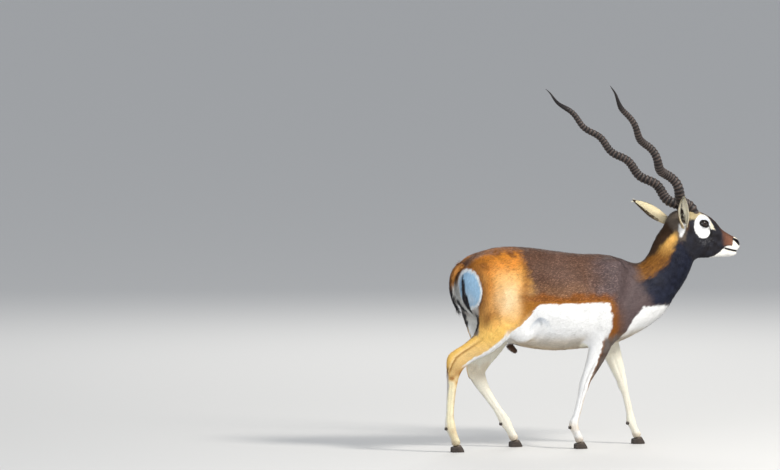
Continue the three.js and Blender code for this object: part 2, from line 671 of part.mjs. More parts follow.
// Head, with sockets for the horns, ears and eyes, and cuts for the mouth and nostrils
const headBox = [[400, -92, 660], [762, 116, 902]];
const cutMouth = () => {
  const { front, corner, half, deep } = MOUTH;
  const line = new THREE.Shape([
    new THREE.Vector2(corner.x, corner.z), new THREE.Vector2((front.x + corner.x) / 2, (front.z + corner.z) / 2 - half - 1),
    new THREE.Vector2(front.x, front.z - half), new THREE.Vector2(front.x, front.z + half),
    new THREE.Vector2((front.x + corner.x) / 2, (front.z + corner.z) / 2 + half - 1),
  ]);
  const slab = new THREE.ExtrudeGeometry(line, { depth: 120, bevelEnabled: false });
  slab.rotateX(Math.PI / 2).translate(0, 60, 0);
  const core = facets(headDistance, ...headBox, [16, 12, 12], -deep);
  return inHead(solid(slab)).subtract(core);
};
let head = facets(flesh, ...headBox, CELL.head);
for (const side of [RIGHT, LEFT]) {
  head = head.add(inHead(lids(side)));
  const eyeAt = mirrored(EYE.at, side);
  const socket = V(1, 1, 1).multiplyScalar(EYE.radius + GAP + 0.25);
  head = head.subtract(inHead(ball(eyeAt, socket, 0, 14)));
  head = head.subtract(inHead(ball(mirrored(NOSTRIL.at, side), NOSTRIL.half, NOSTRIL.pitch)));
}
head = head.subtract(cutMouth()).intersect(beyond(NECK_TOP.at, NECK_TOP.normal, GAP));
for (const side of [RIGHT, LEFT]) head = head.subtract(horn(side, GAP));
for (const name of Object.keys(EARS)) head = head.subtract(ear(EARS[name], GAP));
addNode('head', head, MATERIALS.dark);

const sideName = (side) => (side === RIGHT ? 'right' : 'left');
for (const side of [RIGHT, LEFT]) {
  const eyeball = ball(mirrored(EYE.at, side), V(1, 1, 1).multiplyScalar(EYE.radius), 0, 14);
  addNode(`eye_${sideName(side)}`, inHead(eyeball), MATERIALS.eye);
  addNode(`horn_${sideName(side)}`, horn(side), MATERIALS.horn);
  addNode(`ear_${sideName(side)}`, ear(EARS[sideName(side)]), MATERIALS.white);
}

addNode('tail', tailSolid(0), MATERIALS.dark);

// Legs: an upper length, a lower length, and two hoofs on each
for (const [name, leg] of Object.entries(LEGS)) {
  const [jx, jy] = leg.joint_at;
  const [hx, hy] = leg.hoof;
  const wide = name.endsWith('hind') ? [-500, -130] : [40, 290];
  const near = Math.min(14 * leg.side, 150 * leg.side);
  const upperLow = [wide[0], near, leg.joint - 20];
  const upperHigh = [wide[1], near + 136, 540];
  const joint = { at: V(jx, jy, leg.joint), normal: V(0, 0, 1) };
  addNode(`${name}_upper`, facets(flesh, upperLow, upperHigh, CELL.upper)
    .intersect(legBlock(name, 0))
    .intersect(beyond(joint.at, joint.normal)), MATERIALS.tan);
  const xs = leg.stations.slice(4).map((row) => row[0]);
  const lowerLow = [Math.min(...xs) - 46, hy - 34, 6];
  const lowerHigh = [Math.max(...xs) + 46, hy + 34, leg.joint + 22];
  const slope = V(-HOOF.slope, 0, 1);
  let lower = facets(flesh, lowerLow, lowerHigh, CELL.lower)
    .subtract(beyond(joint.at, joint.normal, -GAP))
    .intersect(beyond(V(hx, 0, HOOF.top + GAP), slope));
  const fetlock = leg.stations[9];
  for (const inner of [RIGHT, LEFT]) {
    const claw = V(fetlock[0] - fetlock[3] + 5, fetlock[1] + inner * 8, fetlock[2] - 9);
    lower = lower.add(ball(claw, V(7, 5, 9), -20, 8));
  }
  addNode(`${name}_lower`, lower, MATERIALS.white);
  for (const inner of [RIGHT, LEFT]) {
    addNode(`${name}_hoof_${inner * leg.side > 0 ? 'outer' : 'inner'}`, hoof(leg.hoof, inner), MATERIALS.hoof);
  }
}

// The origin is at the middle of the box's bottom
const box = new THREE.Box3().setFromObject(group);
group.position.set(-(box.min.x + box.max.x) / 2, -(box.min.y + box.max.y) / 2, -box.min.z);

export default group;
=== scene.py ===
import math
import bpy
import numpy as np
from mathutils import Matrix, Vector


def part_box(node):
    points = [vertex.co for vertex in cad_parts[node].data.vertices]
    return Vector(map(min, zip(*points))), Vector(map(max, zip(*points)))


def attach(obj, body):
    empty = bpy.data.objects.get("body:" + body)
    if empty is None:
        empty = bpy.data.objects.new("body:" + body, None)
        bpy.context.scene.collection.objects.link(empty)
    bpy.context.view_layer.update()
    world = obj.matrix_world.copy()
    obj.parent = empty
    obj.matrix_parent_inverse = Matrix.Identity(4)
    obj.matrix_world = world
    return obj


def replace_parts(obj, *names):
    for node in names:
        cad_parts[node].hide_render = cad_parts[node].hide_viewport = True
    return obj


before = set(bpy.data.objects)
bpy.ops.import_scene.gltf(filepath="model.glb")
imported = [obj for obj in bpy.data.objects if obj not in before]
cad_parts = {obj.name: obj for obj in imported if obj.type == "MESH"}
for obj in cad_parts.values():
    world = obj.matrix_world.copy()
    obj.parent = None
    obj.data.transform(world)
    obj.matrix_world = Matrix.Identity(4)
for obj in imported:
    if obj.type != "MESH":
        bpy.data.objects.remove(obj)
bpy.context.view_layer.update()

# A male blackbuck, walking. Shapes are worked out in millimetres in the animal's own place, with +X towards the
# head, +Y its left and +Z up, and moved to the row's frame when they are made.
RIGHT = -1
LEFT = 1
rng = np.random.default_rng(7)

# Swept forms: x, y, z, half depth, half width and, in some, how much narrower the top is than the bottom
TRUNK = [
  [-336, 0, 632, 70, 80, 0.0],
  [-262, 0, 620, 132, 106, 0.05],
  [-165, 0, 577, 180, 112, 0.05],
  [-50, 0, 554, 187, 122, 0.1],
  [60, 0, 548, 179, 120, 0.18],
  [160, 0, 550, 171, 106, 0.28],
  [245, 0, 550, 138, 86, 0.25],
  [315, 0, 558, 104, 70, 0.1],
]
NECK = [
  [285, 0, 556, 100, 74, 0.1],
  [364, 1, 602, 93, 64, 0.12],
  [420, 3, 668, 88, 56, 0.12],
  [454, 6, 742, 84, 48, 0.05],
  [478, 8, 800, 62, 44, 0],
]
TAIL = [
  [-392, 0, 690, 14, 17],
  [-411, 0, 672, 13, 17],
  [-424, 1, 642, 11, 17],
  [-426, 2, 602, 10, 16],
  [-418, 3, 564, 9, 13],
  [-407, 3, 534, 6, 7],
]
# Pairs of ovals: x, distance from the middle plane, z, three half sizes, pitch in degrees, blend
MUSCLES = [
  [-302, 60, 616, 96, 50, 108, 18, 50],  # haunch
  [-202, 56, 704, 52, 34, 30, 8, 50],  # point of the hip
  [-364, 42, 592, 34, 38, 84, 20, 36],  # buttock
  [168, 60, 590, 62, 46, 122, -14, 50],  # shoulder blade
  [262, 50, 520, 62, 44, 66, 0, 45],  # point of the shoulder
  [172, 64, 486, 78, 38, 62, -25, 45],  # back of the upper arm
  [334, 22, 524, 48, 42, 46, 35, 36],  # breast
  [-195, 82, 470, 44, 26, 70, 25, 40],  # flank fold
]
HOLLOWS = [
  [-122, 152, 622, 80, 42, 60, 0, 50],  # hollow of the flank
  [272, 112, 622, 34, 34, 74, -28, 44],  # in front of the shoulder
]
LEGS = {
  "right_hind": {
    "side": RIGHT,
    "stations": [
      [-262, -74, 540, 90, 50], [-290, -82, 460, 68, 42], [-334, -86, 406, 48, 31], [-384, -87, 374, 37, 24],
      [-429, -87, 343, 36, 21], [-449, -87, 302, 28, 18], [-455, -86, 254, 20, 15], [-460, -85, 197, 16.5, 13],
      [-463, -84, 139, 15.5, 13], [-461, -84, 98, 20, 17], [-449, -84, 64, 15.5, 17], [-439, -84, 36, 17, 18],
    ],
    "joint": 303, "joint_at": [-449, -87], "hoof": [-433, -84],
    "heel": [
      [-352, -85, 418, 18, 14], [-412, -86, 387, 10, 9], [-460, -87, 359, 11, 11], [-463, -87, 322, 11, 10],
    ],
  },
  "left_hind": {
    "side": LEFT,
    "stations": [
      [-264, 76, 520, 100, 50], [-250, 83, 445, 84, 43], [-258, 86, 388, 60, 34], [-282, 86, 338, 44, 26],
      [-301, 86, 292, 35, 21], [-289, 86, 250, 27, 18], [-264, 84, 207, 19.5, 15], [-241, 82, 172, 16.5, 13],
      [-218, 80, 138, 16, 13], [-192, 79, 97, 20.5, 17], [-172, 79, 63, 15.5, 17], [-158, 79, 36, 17, 18],
    ],
    "joint": 254, "joint_at": [-289, 86], "hoof": [-150, 79],
    "heel": [
      [-300, 86, 380, 16, 12], [-322, 86, 334, 9, 9], [-331, 86, 306, 10, 11], [-323, 86, 272, 10, 10],
    ],
  },
  "right_fore": {
    "side": RIGHT,
    "stations": [
      [165, -62, 500, 70, 40], [142, -70, 415, 48, 31], [117, -73, 345, 35, 24], [95, -75, 297, 26, 19.5],
      [75, -75, 257, 20, 18], [67, -75, 232, 19, 17.5], [58, -75, 200, 14.5, 13], [47, -75, 155, 13.5, 12.5],
      [36, -75, 118, 14, 13], [27, -75, 90, 18, 16], [38, -75, 60, 14.5, 16], [49, -75, 35, 16.5, 18],
    ],
    "joint": 214, "joint_at": [62, -75], "hoof": [55, -75], "heel": None,
  },
  "left_fore": {
    "side": LEFT,
    "stations": [
      [185, 62, 500, 70, 40], [204, 68, 405, 47, 31], [231, 71, 335, 34, 24], [250, 72, 285, 27, 19.5],
      [264, 72, 246, 21, 18], [270, 72, 222, 19, 17.5], [280, 72, 193, 14.5, 13], [290, 72, 155, 13.5, 12.5],
      [298, 72, 118, 14, 13], [304, 72, 88, 17.5, 16], [315, 72, 59, 14.5, 16], [326, 72, 35, 16.5, 18],
    ],
    "joint": 205, "joint_at": [276, 72], "hoof": [332, 72], "heel": None,
  },
}
# The head and what is on it are in a frame of their own, at this pivot
HEAD_PIVOT = np.array((470, 8, 800), float)
HEAD_YAW = 6
HEAD_ROLL = -4
SKULL = [
  [2, 0, 34, 44, 40, 0], [55, 0, 28, 50, 43, 0.1], [105, 0, 7, 50, 36, 0.1], [150, 0, -27, 41, 27, 0.05],
  [194, 0, -46, 33, 21, 0], [218, 0, -54, 29, 21, 0], [227, 0, -57, 23, 18, 0],
]
JAW = [
  [38, 0, -52, 40, 30, 0], [88, 0, -68, 34, 27, 0], [145, 0, -80, 22, 17, 0], [196, 0, -87, 14, 14, 0],
  [214, 0, -87, 13, 13, 0],
]
HEAD_MASSES = [
  [60, 22, -22, 52, 24, 50, 0, 24],  # cheek
  [78, 33.5, 28, 34, 20, 30, -20, 14],  # eye socket
  [47, 22, 62, 26, 22, 22, 0, 14],  # boss under each horn
  [-6, 34, 30, 24, 22, 26, 0, 18],  # root of the ear
  [210, 12, -65, 26, 11, 14, -12, 8],  # upper lip
  [207, 9, -86, 24, 9, 10, -6, 8],  # lower lip
  [223, 9, -43, 16, 9, 13, -30, 8],  # wing of the nostril
]
HEAD_HOLLOWS = [
  [128, 40, -8, 22, 12, 24, -30, 14],  # in front of the eye
  [165, 30, -40, 34, 9, 16, -20, 10],  # side of the muzzle
]
# The eye, seen from the head's frame
EYE = {"at": np.array((82.5, 38, 25)), "radius": 19, "facing": np.array((0.2, 1, 0.08))}
# Lids: how far out, how thick, and the opening's half angles
LID = {"out": 1, "thick": 2.8, "wide": 66, "above": 34, "below": 30}
# The nostril's middle line and half widths along it
COMMA = np.array([(219, 17, -36), (225, 16.5, -39), (231, 15, -44), (237, 13.5, -49), (241, 12, -54)], float)
COMMA_HALF = (1.2, 2.6, 3.8, 3.8, 2.2)
MOUTH = {"front": (255, 0, -82), "corner": (180, 0, -68)}
HORNS = {
  RIGHT: {
    "root": (50, -24, 71), "tip": (-397, -283, 553), "bow": -9.5, "skew": -0.57, "wave": (13.5, 3.6),
    "turns": -4.06, "phase": 0,
  },
  LEFT: {
    "root": (47, 24, 66), "tip": (-404, 283, 549), "bow": -6.8, "skew": -0.8, "wave": (9, 4.8),
    "turns": -5.15, "phase": 38,
  },
}
HORN_BASE = 19.5
EARS = {
  "right": {"root": (-3, -52, 20), "along": (-0.32, -0.8, 1), "facing": (0.2, -1, -0.6), "long": 1},
  "left": {"root": (-10, 44, 32), "along": (-0.8, 0.37, 0.56), "facing": (0.15, 1, -0.2), "long": 1.13},
}
EAR = {"length": 146, "thick": 3}
HOOF = {"half": 24, "wide": 8.6, "top": 25, "slope": 0.3, "apart": 9.6}
# Where the neck begins and ends
NECK_BASE = ((368, 0, 612), (0.857, 0, 0.515))
NECK_TOP = ((466, 8, 772), (0.85, 0, 0.527))
SHEATH = np.array([-190, 0, 377])
FAR = 500.0


# Small helpers
def unit(v):
    v = np.asarray(v, float)
    return v / np.maximum(np.linalg.norm(v, axis=-1, keepdims=True), 1e-9)


def step(x, low, high):
    """0 below low, 1 above high, smooth between; low may be the larger one."""
    t = np.clip((x - low) / (high - low), 0, 1)
    return t * t * (3 - 2 * t)


def line(x, points):
    """Height of a bent line at x."""
    p = np.array(points, float)
    return np.interp(x, p[:, 0], p[:, 1])


def noise(p, size, seed=0):
    """Smooth random values from -1 to 1 over space."""
    q = np.asarray(p, float) / size + 37.3 * (seed + 1)
    i = np.floor(q).astype(np.int64)
    f = q - i
    f = f * f * (3 - 2 * f)
    total = 0
    for c in range(8):
        o = np.array([c & 1, (c >> 1) & 1, (c >> 2) & 1])
        n = (i + o) @ np.array([374761393, 668265263, 2147483647 // 3]) + 1013 * seed
        n = (n ^ (n >> 13)) * 1274126177
        n = (n ^ (n >> 16)) & 0xFFFFFF
        w = np.prod(np.where(o, f, 1 - f), axis=-1)
        total = total + w * (n / 0x7FFFFF - 1)
    return total


def circle(count):
    return np.linspace(0, 2 * np.pi, count, endpoint=False)


def blend(a, b, k):
    """The nearer of two forms, rounded where they meet."""
    h = np.maximum(k - np.abs(a - b), 0) / k
    return np.minimum(a, b) - h * h * k / 4


def carve(a, b, k):
    """The first form with the second taken out of it."""
    return -blend(-a, b, k)


def turn(axis, degrees):
    c, s = math.cos(math.radians(degrees)), math.sin(math.radians(degrees))
    return np.array({
        "x": [[1, 0, 0], [0, c, -s], [0, s, c]],
        "y": [[c, 0, s], [0, 1, 0], [-s, 0, c]],
        "z": [[c, -s, 0], [s, c, 0], [0, 0, 1]],
    }[axis])


HEAD_TURN = turn("z", HEAD_YAW) @ turn("x", HEAD_ROLL)


def to_head(p):
    return (np.asarray(p, float) - HEAD_PIVOT) @ HEAD_TURN


def from_head(p):
    return np.asarray(p, float) @ HEAD_TURN.T + HEAD_PIVOT


def mirrored(p):
    """Points brought to the left side."""
    return np.stack([p[:, 0], np.abs(p[:, 1]), p[:, 2]], 1)


def past(plane, p):
    """How far points lie in front of a plane."""
    return (p - np.array(plane[0])) @ unit(plane[1])


def to_segment(p, a, b):
    """How far along the line from a to b each point lies, from 0 to 1, and the way from there to the point."""
    d = b - a
    t = np.clip((p - a) @ d / np.linalg.norm(d) ** 2, 0, 1)
    return t, p - a - t[:, None] * d


def oval(offset, half):
    """Distance to an oval, for points measured from its middle."""
    far = np.linalg.norm(offset, axis=1)
    share = np.linalg.norm(offset / np.array(half), axis=1)
    return far - far / np.maximum(share, 1e-6)


def smoothed(stations, steps):
    rows = np.array(stations, float)
    padded = np.vstack([rows[:1], rows, rows[-1:]])
    made = []
    for i in range(len(rows) - 1):
        a, b, c, d = padded[i:i + 4]
        for s in range(steps):
            t = s / steps
            made.append(b + 0.5 * t * (c - a + t * (2 * a - 5 * b + 4 * c - d + t * (3 * (b - c) + d - a))))
    made.append(rows[-1])
    return np.array(made)


# How far from a swept form its distance is still worked out, and how many points are worked out at once
REACH = 62
AT_ONCE, TONES_AT_ONCE = 150000, 60000


def sweep(stations, steps=4):
    """Distance to a form swept along its stations, with oval sections."""
    rows = smoothed(stations, steps)
    if rows.shape[1] < 6:
        rows = np.hstack([rows, np.zeros((len(rows), 1))])
    big = rows[:, 3:5].max(1)[:, None]
    low = (rows[:, :3] - big).min(0) - REACH
    high = (rows[:, :3] + big).max(0) + REACH

    def distance(p):
        out = np.full(len(p), FAR)
        near = np.all((p > low) & (p < high), axis=1)
        q = p[near]
        if not len(q):
            return out
        best = np.full(len(q), FAR)
        for a, b in zip(rows[:-1], rows[1:]):
            d = b[:3] - a[:3]
            long = np.linalg.norm(d)
            t, r = to_segment(q, a[:3], b[:3])
            deep = a[3] + t * (b[3] - a[3])
            wide = a[4] + t * (b[4] - a[4])
            egg = a[5] + t * (b[5] - a[5])
            rise = np.clip((r[:, 2] * d[0] - r[:, 0] * d[2]) / long / deep, -1, 1)
            wide = wide * (1 - egg * rise)
            flat = r[:, 0] ** 2 + r[:, 2] ** 2
            far = np.sqrt(flat + r[:, 1] ** 2)
            share = np.maximum(np.sqrt((r[:, 1] / wide) ** 2 + flat / deep ** 2), 1e-6)
            best = np.minimum(best, far - far / share)
        out[near] = best
        return out
    return distance


def pair(x, y, z, long, wide, high, pitch, k):
    """A pair of ovals, one on each side of the middle plane, and the blend they take."""
    turned = turn("y", pitch).T
    return lambda p: oval((mirrored(p) - (x, y, z)) @ turned, (long, wide, high)), k


trunk, neck, tail = sweep(TRUNK), sweep(NECK), sweep(TAIL)
legs = [sweep(leg["stations"], 3) for leg in LEGS.values()]
heels = [sweep(leg["heel"]) for leg in LEGS.values() if leg["heel"]]
muscles = [pair(*m) for m in MUSCLES]
hollows = [pair(*m) for m in HOLLOWS]
skull, jaw = sweep(SKULL), sweep(JAW)
head_masses = [pair(*m) for m in HEAD_MASSES]
head_hollows = [pair(*m) for m in HEAD_HOLLOWS]


def head_distance(p):
    """The plain head, in its own frame."""
    d = blend(skull(p), jaw(p), 22)
    for m, k in head_masses:
        d = blend(d, m(p), k)
    for m, k in head_hollows:
        d = carve(d, m(p), k)
    return d


def flesh(p):
    d = blend(trunk(p), neck(p), 45)
    for m, k in muscles:
        d = blend(d, m(p), k)
    for m, k in hollows:
        d = carve(d, m(p), k)
    for leg in legs:
        d = blend(d, leg(p), 26)
    for heel in heels:
        d = blend(d, heel(p), 12)
    near = p[:, 0] > 350
    q = to_head(p[near])
    inside = np.all((q > (-110, -130, -170)) & (q < (310, 130, 170)), axis=1)
    h = np.full(len(q), FAR)
    h[inside] = head_distance(q[inside])
    d[near] = blend(d[near], h, 34)
    return d


def depth(p):
    """How far the skin lies under the outside of the coat."""
    return 0.9 + 1.3 * step(p[:, 2], 330, 430) * step(p[:, 0], 500, 440)


def body(p):
    """The skin of everything but the head's finer forms."""
    d = flesh(p) + depth(p)
    d = blend(d, tail(p) + 2.5, 8)
    return blend(d, oval((p - SHEATH) @ turn("y", 42), (24, 10, 10)), 10)


def almond(side, count=48):
    """The lids' opening on a ball just outside the eye: centre, three axes, and the ways to its rim."""
    centre, facing = EYE["at"] * (1, side, 1), unit(EYE["facing"] * (1, side, 1))
    level = unit(np.array([1, 0, -0.25]) - np.dot((1, 0, -0.25), facing) * facing)
    up = unit(np.cross(level, facing)) * -side
    a = circle(count)
    across = np.tan(math.radians(LID["wide"])) * np.sign(np.cos(a)) * np.abs(np.cos(a)) ** 0.85
    rise = np.tan(np.radians(np.where(a < np.pi, LID["above"], LID["below"]))) * np.sin(a)
    return centre, facing, level, up, unit(facing + across[:, None] * level + rise[:, None] * up)


def near_eye(q):
    return (np.abs(q[:, 0] - 83) < 46) & (np.abs(q[:, 2] - 25) < 40)


def lid_distance(p):
    """Distance to the middle of the lids' rims, in the head's frame."""
    centre, _, _, _, ways = almond(LEFT)
    ring = centre + ways * (EYE["radius"] + LID["out"])
    best = np.full(len(p), FAR)
    for a, b in zip(ring, np.roll(ring, -1, axis=0)):
        best = np.minimum(best, np.linalg.norm(to_segment(mirrored(p), a, b)[1], axis=1))
    return best


def almond_depth(e):
    """How far inside the opening of the lids a point lies, roughly in millimetres, for the left side."""
    centre, facing, level, up, _ = almond(LEFT, 8)
    d = e - centre
    ahead = np.maximum(d @ facing, 1e-3)
    across, rise = np.abs(d @ level) / ahead, (d @ up) / ahead
    widest = np.tan(math.radians(LID["wide"]))
    share = np.minimum(across / widest, 1) ** (1 / .85)
    limit = np.tan(np.radians(np.where(rise > 0, LID["above"], LID["below"]))) * np.sqrt(1 - share ** 2)
    deep = (limit - np.abs(rise)) * 16
    deep = np.where(across > widest, (widest - across) * 12 - np.abs(rise) * 8, deep)
    return np.where(d @ facing < 4, -20, deep)


def nostril_distance(p):
    """A comma-shaped opening on each side of the nose."""
    best = np.full(len(p), FAR)
    for a, b, ra, rb in zip(COMMA, COMMA[1:], COMMA_HALF, COMMA_HALF[1:]):
        t, r = to_segment(mirrored(p), a, b)
        best = np.minimum(best, np.linalg.norm(r, axis=1) - ra - t * (rb - ra))
    return best


def mouth_height(h):
    front, corner = MOUTH["front"], MOUTH["corner"]
    t = np.clip((h - corner[0]) / (front[0] - corner[0]), 0, 1)
    return corner[2] + (front[2] - corner[2]) * t - 3.2 * np.sin(np.pi * t)


def head_skin(p):
    """The head with its lids, nostrils, mouth and the slit in front of each eye."""
    q = mirrored(to_head(p))
    plain = flesh(p)
    d = plain + depth(p)
    near = near_eye(q)
    e, c = q[near], d[near]
    c = blend(c, lid_distance(e) - LID["thick"] + 0.6, 3)
    ball = np.linalg.norm(e - EYE["at"], axis=1) - EYE["radius"]
    opening = almond_depth(e)
    c = blend(c, np.maximum(np.abs(ball - 1.4) - 1.2, opening), 2)
    c = carve(c, np.maximum(ball - .35, -2 - opening), .8)
    d[near] = carve(c, np.maximum(ball - 4, 1.5 - opening), .8)
    muzzle = q[:, 0] > 165
    e, under = q[muzzle], -plain[muzzle]
    c = carve(d[muzzle], nostril_distance(e), 1.6)
    lips = np.maximum(np.abs(e[:, 2] - mouth_height(e[:, 0])) - 1.0, MOUTH["corner"][0] + 2 - e[:, 0])
    c = carve(c, np.maximum(lips, under - 5.5), 2.2)
    cleft = np.maximum(np.maximum(e[:, 1] - 0.7, e[:, 2] + 52), under - 3.0)
    cleft = np.maximum(cleft, np.maximum(-74 - e[:, 2], 225 - e[:, 0]))
    d[muzzle] = carve(c, cleft, 1.6)
    return carve(d, oval(q - (113, 34, 6), (3.2, 12, 10)), 3)


def surface(field, low, high, cell):
    """Fine closed surface of a distance function, worked out only near the surface."""
    low, cell = np.array(low, float), np.array(cell, float)
    count = (np.ceil((np.array(high) - low) / cell / 8).astype(int)) * 8
    keep = np.ones(tuple(count // 8), bool)
    sign = None
    for size in (8, 2):
        at = np.argwhere(keep)
        value = field(low + (at + 0.5) * cell * size)
        half = 0.5 * np.linalg.norm(cell * size)
        grid = np.full(keep.shape, 9.0) if sign is None else sign
        grid[tuple(at.T)] = value
        near = np.zeros(keep.shape, bool)
        near[tuple(at[np.abs(value) < half * 1.15 + 2].T)] = True
        ratio = 4 if size == 8 else 2
        keep = near.repeat(ratio, 0).repeat(ratio, 1).repeat(ratio, 2)
        sign = grid.repeat(ratio, 0).repeat(ratio, 1).repeat(ratio, 2)
    wide = keep.copy()
    wide[1:] |= keep[:-1]
    wide[:, 1:] |= wide[:, :-1]
    wide[:, :, 1:] |= wide[:, :, :-1]
    value = sign.astype(np.float32)
    at = np.argwhere(wide)
    for start in range(0, len(at), AT_ONCE):
        part = at[start:start + AT_ONCE]
        value[tuple(part.T)] = field(low + part * cell)
    inside = value < 0
    key = lambda c: (c[:, 0] * value.shape[1] + c[:, 1]) * value.shape[2] + c[:, 2]
    edges, keys, points = [], [], []
    for axis in range(3):
        a = [slice(None)] * 3
        b = [slice(None)] * 3
        a[axis], b[axis] = slice(0, -1), slice(1, None)
        cross = np.argwhere(inside[tuple(a)] != inside[tuple(b)])
        other = cross.copy()
        other[:, axis] += 1
        va, vb = value[tuple(cross.T)], value[tuple(other.T)]
        point = cross.astype(float)
        point[:, axis] += va / (va - vb)
        u, v = [n for n in range(3) if n != axis]
        corners = []
        for du, dv in ((1, 1), (0, 1), (0, 0), (1, 0)):
            c = cross.copy()
            c[:, u] -= du
            c[:, v] -= dv
            corners.append(key(c))
            keys.append(corners[-1])
            points.append(point)
        quad = np.stack(corners, 1)
        flip = (va < 0) if axis == 1 else (va >= 0)
        quad[flip] = quad[flip][:, ::-1]
        edges.append(quad)
    keys, points = np.concatenate(keys), np.vstack(points)
    cells, place = np.unique(keys, return_inverse=True)
    weight = np.bincount(place)
    verts = np.stack([np.bincount(place, weights=points[:, n]) / weight for n in range(3)], 1)
    quads = np.searchsorted(cells, np.vstack(edges))
    return settle(low + verts * cell, field, cell), quads


def settle(verts, field, cell):
    """Draws points onto the surface."""
    e = 0.6
    d0 = field(verts)
    g = np.stack([field(verts + np.eye(3)[n] * e) - d0 for n in range(3)], 1) / e
    move = -(d0 / np.maximum((g * g).sum(1), 0.15))[:, None] * g
    return verts + np.clip(move, -0.4 * np.min(cell), 0.4 * np.min(cell))


def normals_of(verts, faces):
    n = np.zeros_like(verts)
    a, b, c, d = (verts[faces[:, i]] for i in (0, 1, 2, 3))
    f = np.cross(c - a, d - b)
    for i in range(4):
        for k in range(3):
            n[:, k] += np.bincount(faces[:, i], weights=f[:, k], minlength=len(verts))
    return unit(n)


def place(rows, p):
    """Where points lie on a swept form: run along it from 0 to 1, rise (to the front of a leg, to the nape),
    side, the way of its axis, and how far from the axis."""
    lengths = np.linalg.norm(np.diff(rows[:, :3], axis=0), axis=1)
    starts = np.concatenate([[0], np.cumsum(lengths)])
    best = np.full(len(p), 1e9)
    run, rise, side = np.zeros((3, len(p)))
    way = np.zeros((len(p), 3))
    for i, (a, b) in enumerate(zip(rows[:-1], rows[1:])):
        d = b[:3] - a[:3]
        t, r = to_segment(p, a[:3], b[:3])
        far = np.linalg.norm(r, axis=1)
        near = far < best
        best[near] = far[near]
        run[near] = ((starts[i] + t * lengths[i]) / starts[-1])[near]
        deep = a[3] + t * (b[3] - a[3])
        rise[near] = ((r[:, 2] * d[0] - r[:, 0] * d[2]) / lengths[i] / deep)[near]
        side[near] = (r[:, 1] / (a[4] + t * (b[4] - a[4])))[near]
        way[near] = d / lengths[i]
    return run, rise, side, way, best


NECK_ROWS = smoothed(NECK, 4)
LEG_ROWS = {name: smoothed(leg["stations"], 2) for name, leg in LEGS.items()}

# Colours of the coat, linear
BACK = (.119, .064, .046)
BACK_REAR = (.085, .038, .021)
SHOULDER = (.110, .078, .078)
RUMP = (.660, .245, .027)
HAUNCH = (.790, .420, .110)
TAN = (.860, .670, .410)
GASKIN = (.820, .520, .140)
RUST = (.205, .062, .005)
WHITE = (.880, .880, .875)
CREAM = (.870, .780, .550)
# painted bluish shade over the white rump patch
WHITE_IN_PAINTED_SHADE = (.318, .500, .670)
INK = (.010, .011, .016)
THROAT = (.007, .008, .017)
GOLD = (.255, .105, .017)
GOLD_TOP = (.840, .490, .130)
NAPE = (.050, .026, .013)
FACE = (.014, .012, .014)
BRIDGE = (.042, .024, .020)
NOSE_RUST = (.200, .082, .045)
FAWN = (.740, .600, .330)
MUZZLE = (.850, .800, .680)
TAIL_TOP = (.110, .040, .010)
TAIL_EDGE = (.720, .700, .660)
# painted shade: the white under the tail and between the thighs, greyed
UNDER_TAIL_IN_SHADE = (.620, .620, .600)
HEAD_BACK = (.125, .098, .076)
SKIN_BLACK = (.008, .007, .008)

# Edges of the white in side view: (z, x) for the belly and chest, (x, z) for the muzzle, and their upper edges
PANEL_REAR = [
    (347, -384), (389, -311), (415, -252), (451, -226), (472, -193), (491, -168), (514, -147), (528, -140),
    (540, -129), (549, -112),
]
PANEL_FRONT = [(224, 74), (266, 94), (329, 119), (404, 150), (456, 169), (500, 168), (549, 159)]
CHEST = [(391, 193), (439, 232), (490, 261), (529, 297)]
MUZZLE_TOP = [
    (88, -118), (115, -104), (143, -94), (165, -80), (174, -68), (186, -61), (209, -60), (213, -52), (215, -36),
    (224, -27), (232, 40),
]
PANEL_TOP, CHEST_TOP, WHITE_UNDER = 549, 531, 470
# Stripe on the rump patch: (z, middle) and (z, half width)
STRIPE_AT = [(440, -329), (505, -342), (540, -352), (600, -362), (665, -366)]
STRIPE_HALF = [
    (420, 3), (470, 5), (495, 10), (523, 15), (550, 13), (575, 10.5), (603, 6.5), (640, 5), (655, 3), (668, 0),
]
# Grooves between muscles in side view: both ends, half width, depth
GROOVES = [
    (70, 700, 108, 548, 13, 3.2), (186, 660, 224, 515, 12, 3.4), (-178, 452, -104, 486, 17, 4.5),
    (-322, 640, -286, 462, 18, 4.2), (-150, 700, -176, 590, 20, 2.6), (128, 640, 168, 520, 18, 2.4),
    (-30, 600, -60, 500, 30, 1.6), (-232, 560, -262, 470, 20, 2.2), (232, 690, 300, 640, 14, 2.2),
]


def mix(base, colour, share):
    return base + (np.asarray(colour, float) - base) * np.clip(share, 0, 1)[..., None]


def flat(colour, like):
    return np.tile(np.array(colour), like.shape + (1,))


def bell(x, wide, z=0, high=1):
    """1 in the middle, fading over this width, or over an oval of this width and height."""
    return np.exp(-(x / wide) ** 2 - (z / high) ** 2)


def band(x, a, b, c, d):
    """Rises from a to b and falls from c to d."""
    return step(x, a, b) * step(x, d, c)


def beside(leg, p, gap):
    """Points on a leg's side, at least this far from the middle, and in its half of the body."""
    return (p[:, 1] * leg["side"] > gap) & ((p[:, 0] < 0) == (leg["heel"] is not None))


